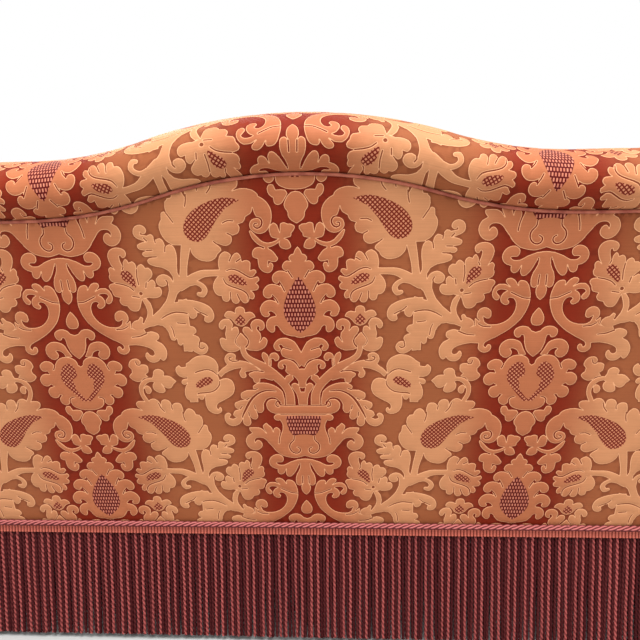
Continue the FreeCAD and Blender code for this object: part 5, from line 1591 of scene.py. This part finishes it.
def trims():
    rope()
    gimp()
    y1, y0 = BACK_Y - 5, FRONT_Y + 1
    x1 = ARM_OUT - 1
    fringe("fringe_at_rear", "fringe_rear", (-x1, y1), (x1, y1), (0, 1), 3)
    fringe("fringe_at_front", "fringe_front", (-x1, y0), (x1, y0), (0, -1), 5)
    fringe("fringe_at_right", "fringe_right", (x1, y0 + 5), (x1, y1 - 5), (1, 0), 7)
    fringe("fringe_at_left", "fringe_left", (-x1, y0 + 5), (-x1, y1 - 5), (-1, 0), 9)


# The pieces the CAD model already has in their right shape.
def dress_frame():
    oak = wood("frame_hardwood", (196, 150, 100), (150, 104, 62), 0.7)
    walnut = wood("leg_walnut", (92, 56, 34), (52, 28, 16), 0.35)
    steel = metal("zinc_steel", (176, 178, 182), 0.35)
    spring = metal("spring_steel_wire", (92, 92, 96), 0.4)
    glide = plain_cloth("glide_nylon", (60, 56, 52), (50, 46, 42), 0.01, 0.5, 0.0)
    wadding = plain_cloth("polyester_wadding", (238, 234, 224), (222, 216, 204), 0.003, 0.95, 0.3)
    hessian = plain_cloth("jute_burlap", (176, 140, 92), (128, 96, 58), 0.0022, 0.95, 0.1)
    black = plain_cloth("black_cambric", (34, 33, 34), (20, 20, 21), 0.001, 0.9, 0.1)
    deck = plain_cloth("deck_twill", (164, 96, 66), (138, 74, 50), 0.0012, 0.85, 0.2)
    piping = plain_cloth("welt_cloth", (186, 104, 78), (136, 52, 34), 0.0014, 0.6, 0.08)
    dress(["corner_blocks", "front_seat_rail", "rear_seat_rail", "side_seat_rails", "centre_seat_brace",
           "arm_front_posts", "arm_rear_posts", "arm_top_rails", "arm_tack_rails", "back_top_rail",
           "back_posts", "back_tack_rail", "back_uprights", "shoulder_blocks"], oak)
    dress(["front_leg_left", "front_leg_right", "front_leg_centre", "rear_leg_left", "rear_leg_right",
           "rear_leg_centre"], walnut)
    dress(["corner_block_screws", "leg_bolts", "dust_cloth_tacks"], steel)
    dress(["seat_springs", "spring_clips", "back_springs"], spring)
    dress(["leg_glides"], glide)
    dress(["inside_back_pad", "top_roll_pad", "arm_pads", "seat_deck_pad", "front_edge_roll"], wadding)
    dress(["back_burlap", "seat_burlap"], hessian)
    dress(["dust_cloth"], black)
    dress(["seat_deck_cover"], deck)
    dress(["back_welt", "arm_facing_welts", "seat_cushion_welts"], piping)


def studio():
    """Pale floor and soft lights."""
    size = 30.0
    points = np.array([(-size, -size, 0), (size, -size, 0), (size, size, 0), (-size, size, 0)], float)
    floor = make_mesh("studio_floor", points, np.array([[0, 1, 2, 3]]), smooth_shade=False)
    material, tree, shader = new_material("studio_floor_paint")
    shader.inputs["Base Color"].default_value = (0.5, 0.5, 0.49, 1)
    shader.inputs["Roughness"].default_value = 0.9
    floor.data.materials.append(material)
    world = bpy.data.worlds.new("studio")
    world.use_nodes = True
    world.node_tree.nodes["Background"].inputs[0].default_value = (1.0, 1.0, 1.0, 1)
    world.node_tree.nodes["Background"].inputs[1].default_value = 1.0
    scene = bpy.context.scene
    scene.world = world
    scene.view_settings.view_transform = "Standard"
    lamps = (
        ("key", (-0.3, 1.7, 3.3), (0, 0.35, 0.6), 1.8, 165.0),
        ("front", (1.2, -3.0, 3.0), (0, -0.2, 0.4), 2.6, 60.0),
    )
    for name, place, aim, width, power in lamps:
        lamp = bpy.data.lights.new(name, "AREA")
        lamp.size = width
        lamp.energy = power
        obj = bpy.data.objects.new(name, lamp)
        obj.location = place
        obj.rotation_euler = (Vector(aim) - Vector(place)).to_track_quat("-Z", "Y").to_euler()
        scene.collection.objects.link(obj)


def camera():
    yaw, pitch, roll = math.radians(-2.58), math.radians(18.37), math.radians(-1.29)
    c, t = math.cos(LEAN), math.sin(LEAN)

    def out_of_panel(right, depth, up):
        return Vector((-right, -depth * c + up * t, depth * t + up * c))

    forward = out_of_panel(math.sin(yaw) * math.cos(pitch), math.cos(yaw) * math.cos(pitch), -math.sin(pitch))
    level = out_of_panel(math.cos(yaw), -math.sin(yaw), 0)
    upward = level.cross(forward)
    right = math.cos(roll) * level + math.sin(roll) * upward
    up = -math.sin(roll) * level + math.cos(roll) * upward
    eye = bpy.data.cameras.new("eye")
    eye.sensor_width = 36.0
    eye.lens = 27.06
    eye.clip_start = 0.05
    obj = bpy.data.objects.new("eye", eye)
    spin = Matrix((right, up, -forward)).transposed().to_4x4()
    off, high = 669.5, 590.0
    place = Vector((-59.5, BACK_Y + off * c + high * t, ROPE_Z - off * t + high * c)) / 1000
    obj.matrix_world = Matrix.Translation(place) @ spin
    bpy.context.scene.collection.objects.link(obj)
    bpy.context.scene.camera = obj


outside_back()
top_roll()
inside_back()
for side, name in ((1, "right"), (-1, "left")):
    inside_arm(side, name)
    outside_arm(side, name)
    arm_facing(side, name)
front_border()
for index, name in enumerate(("left", "centre", "right")):
    cushion(index, name)
trims()
dress_frame()
studio()
camera()
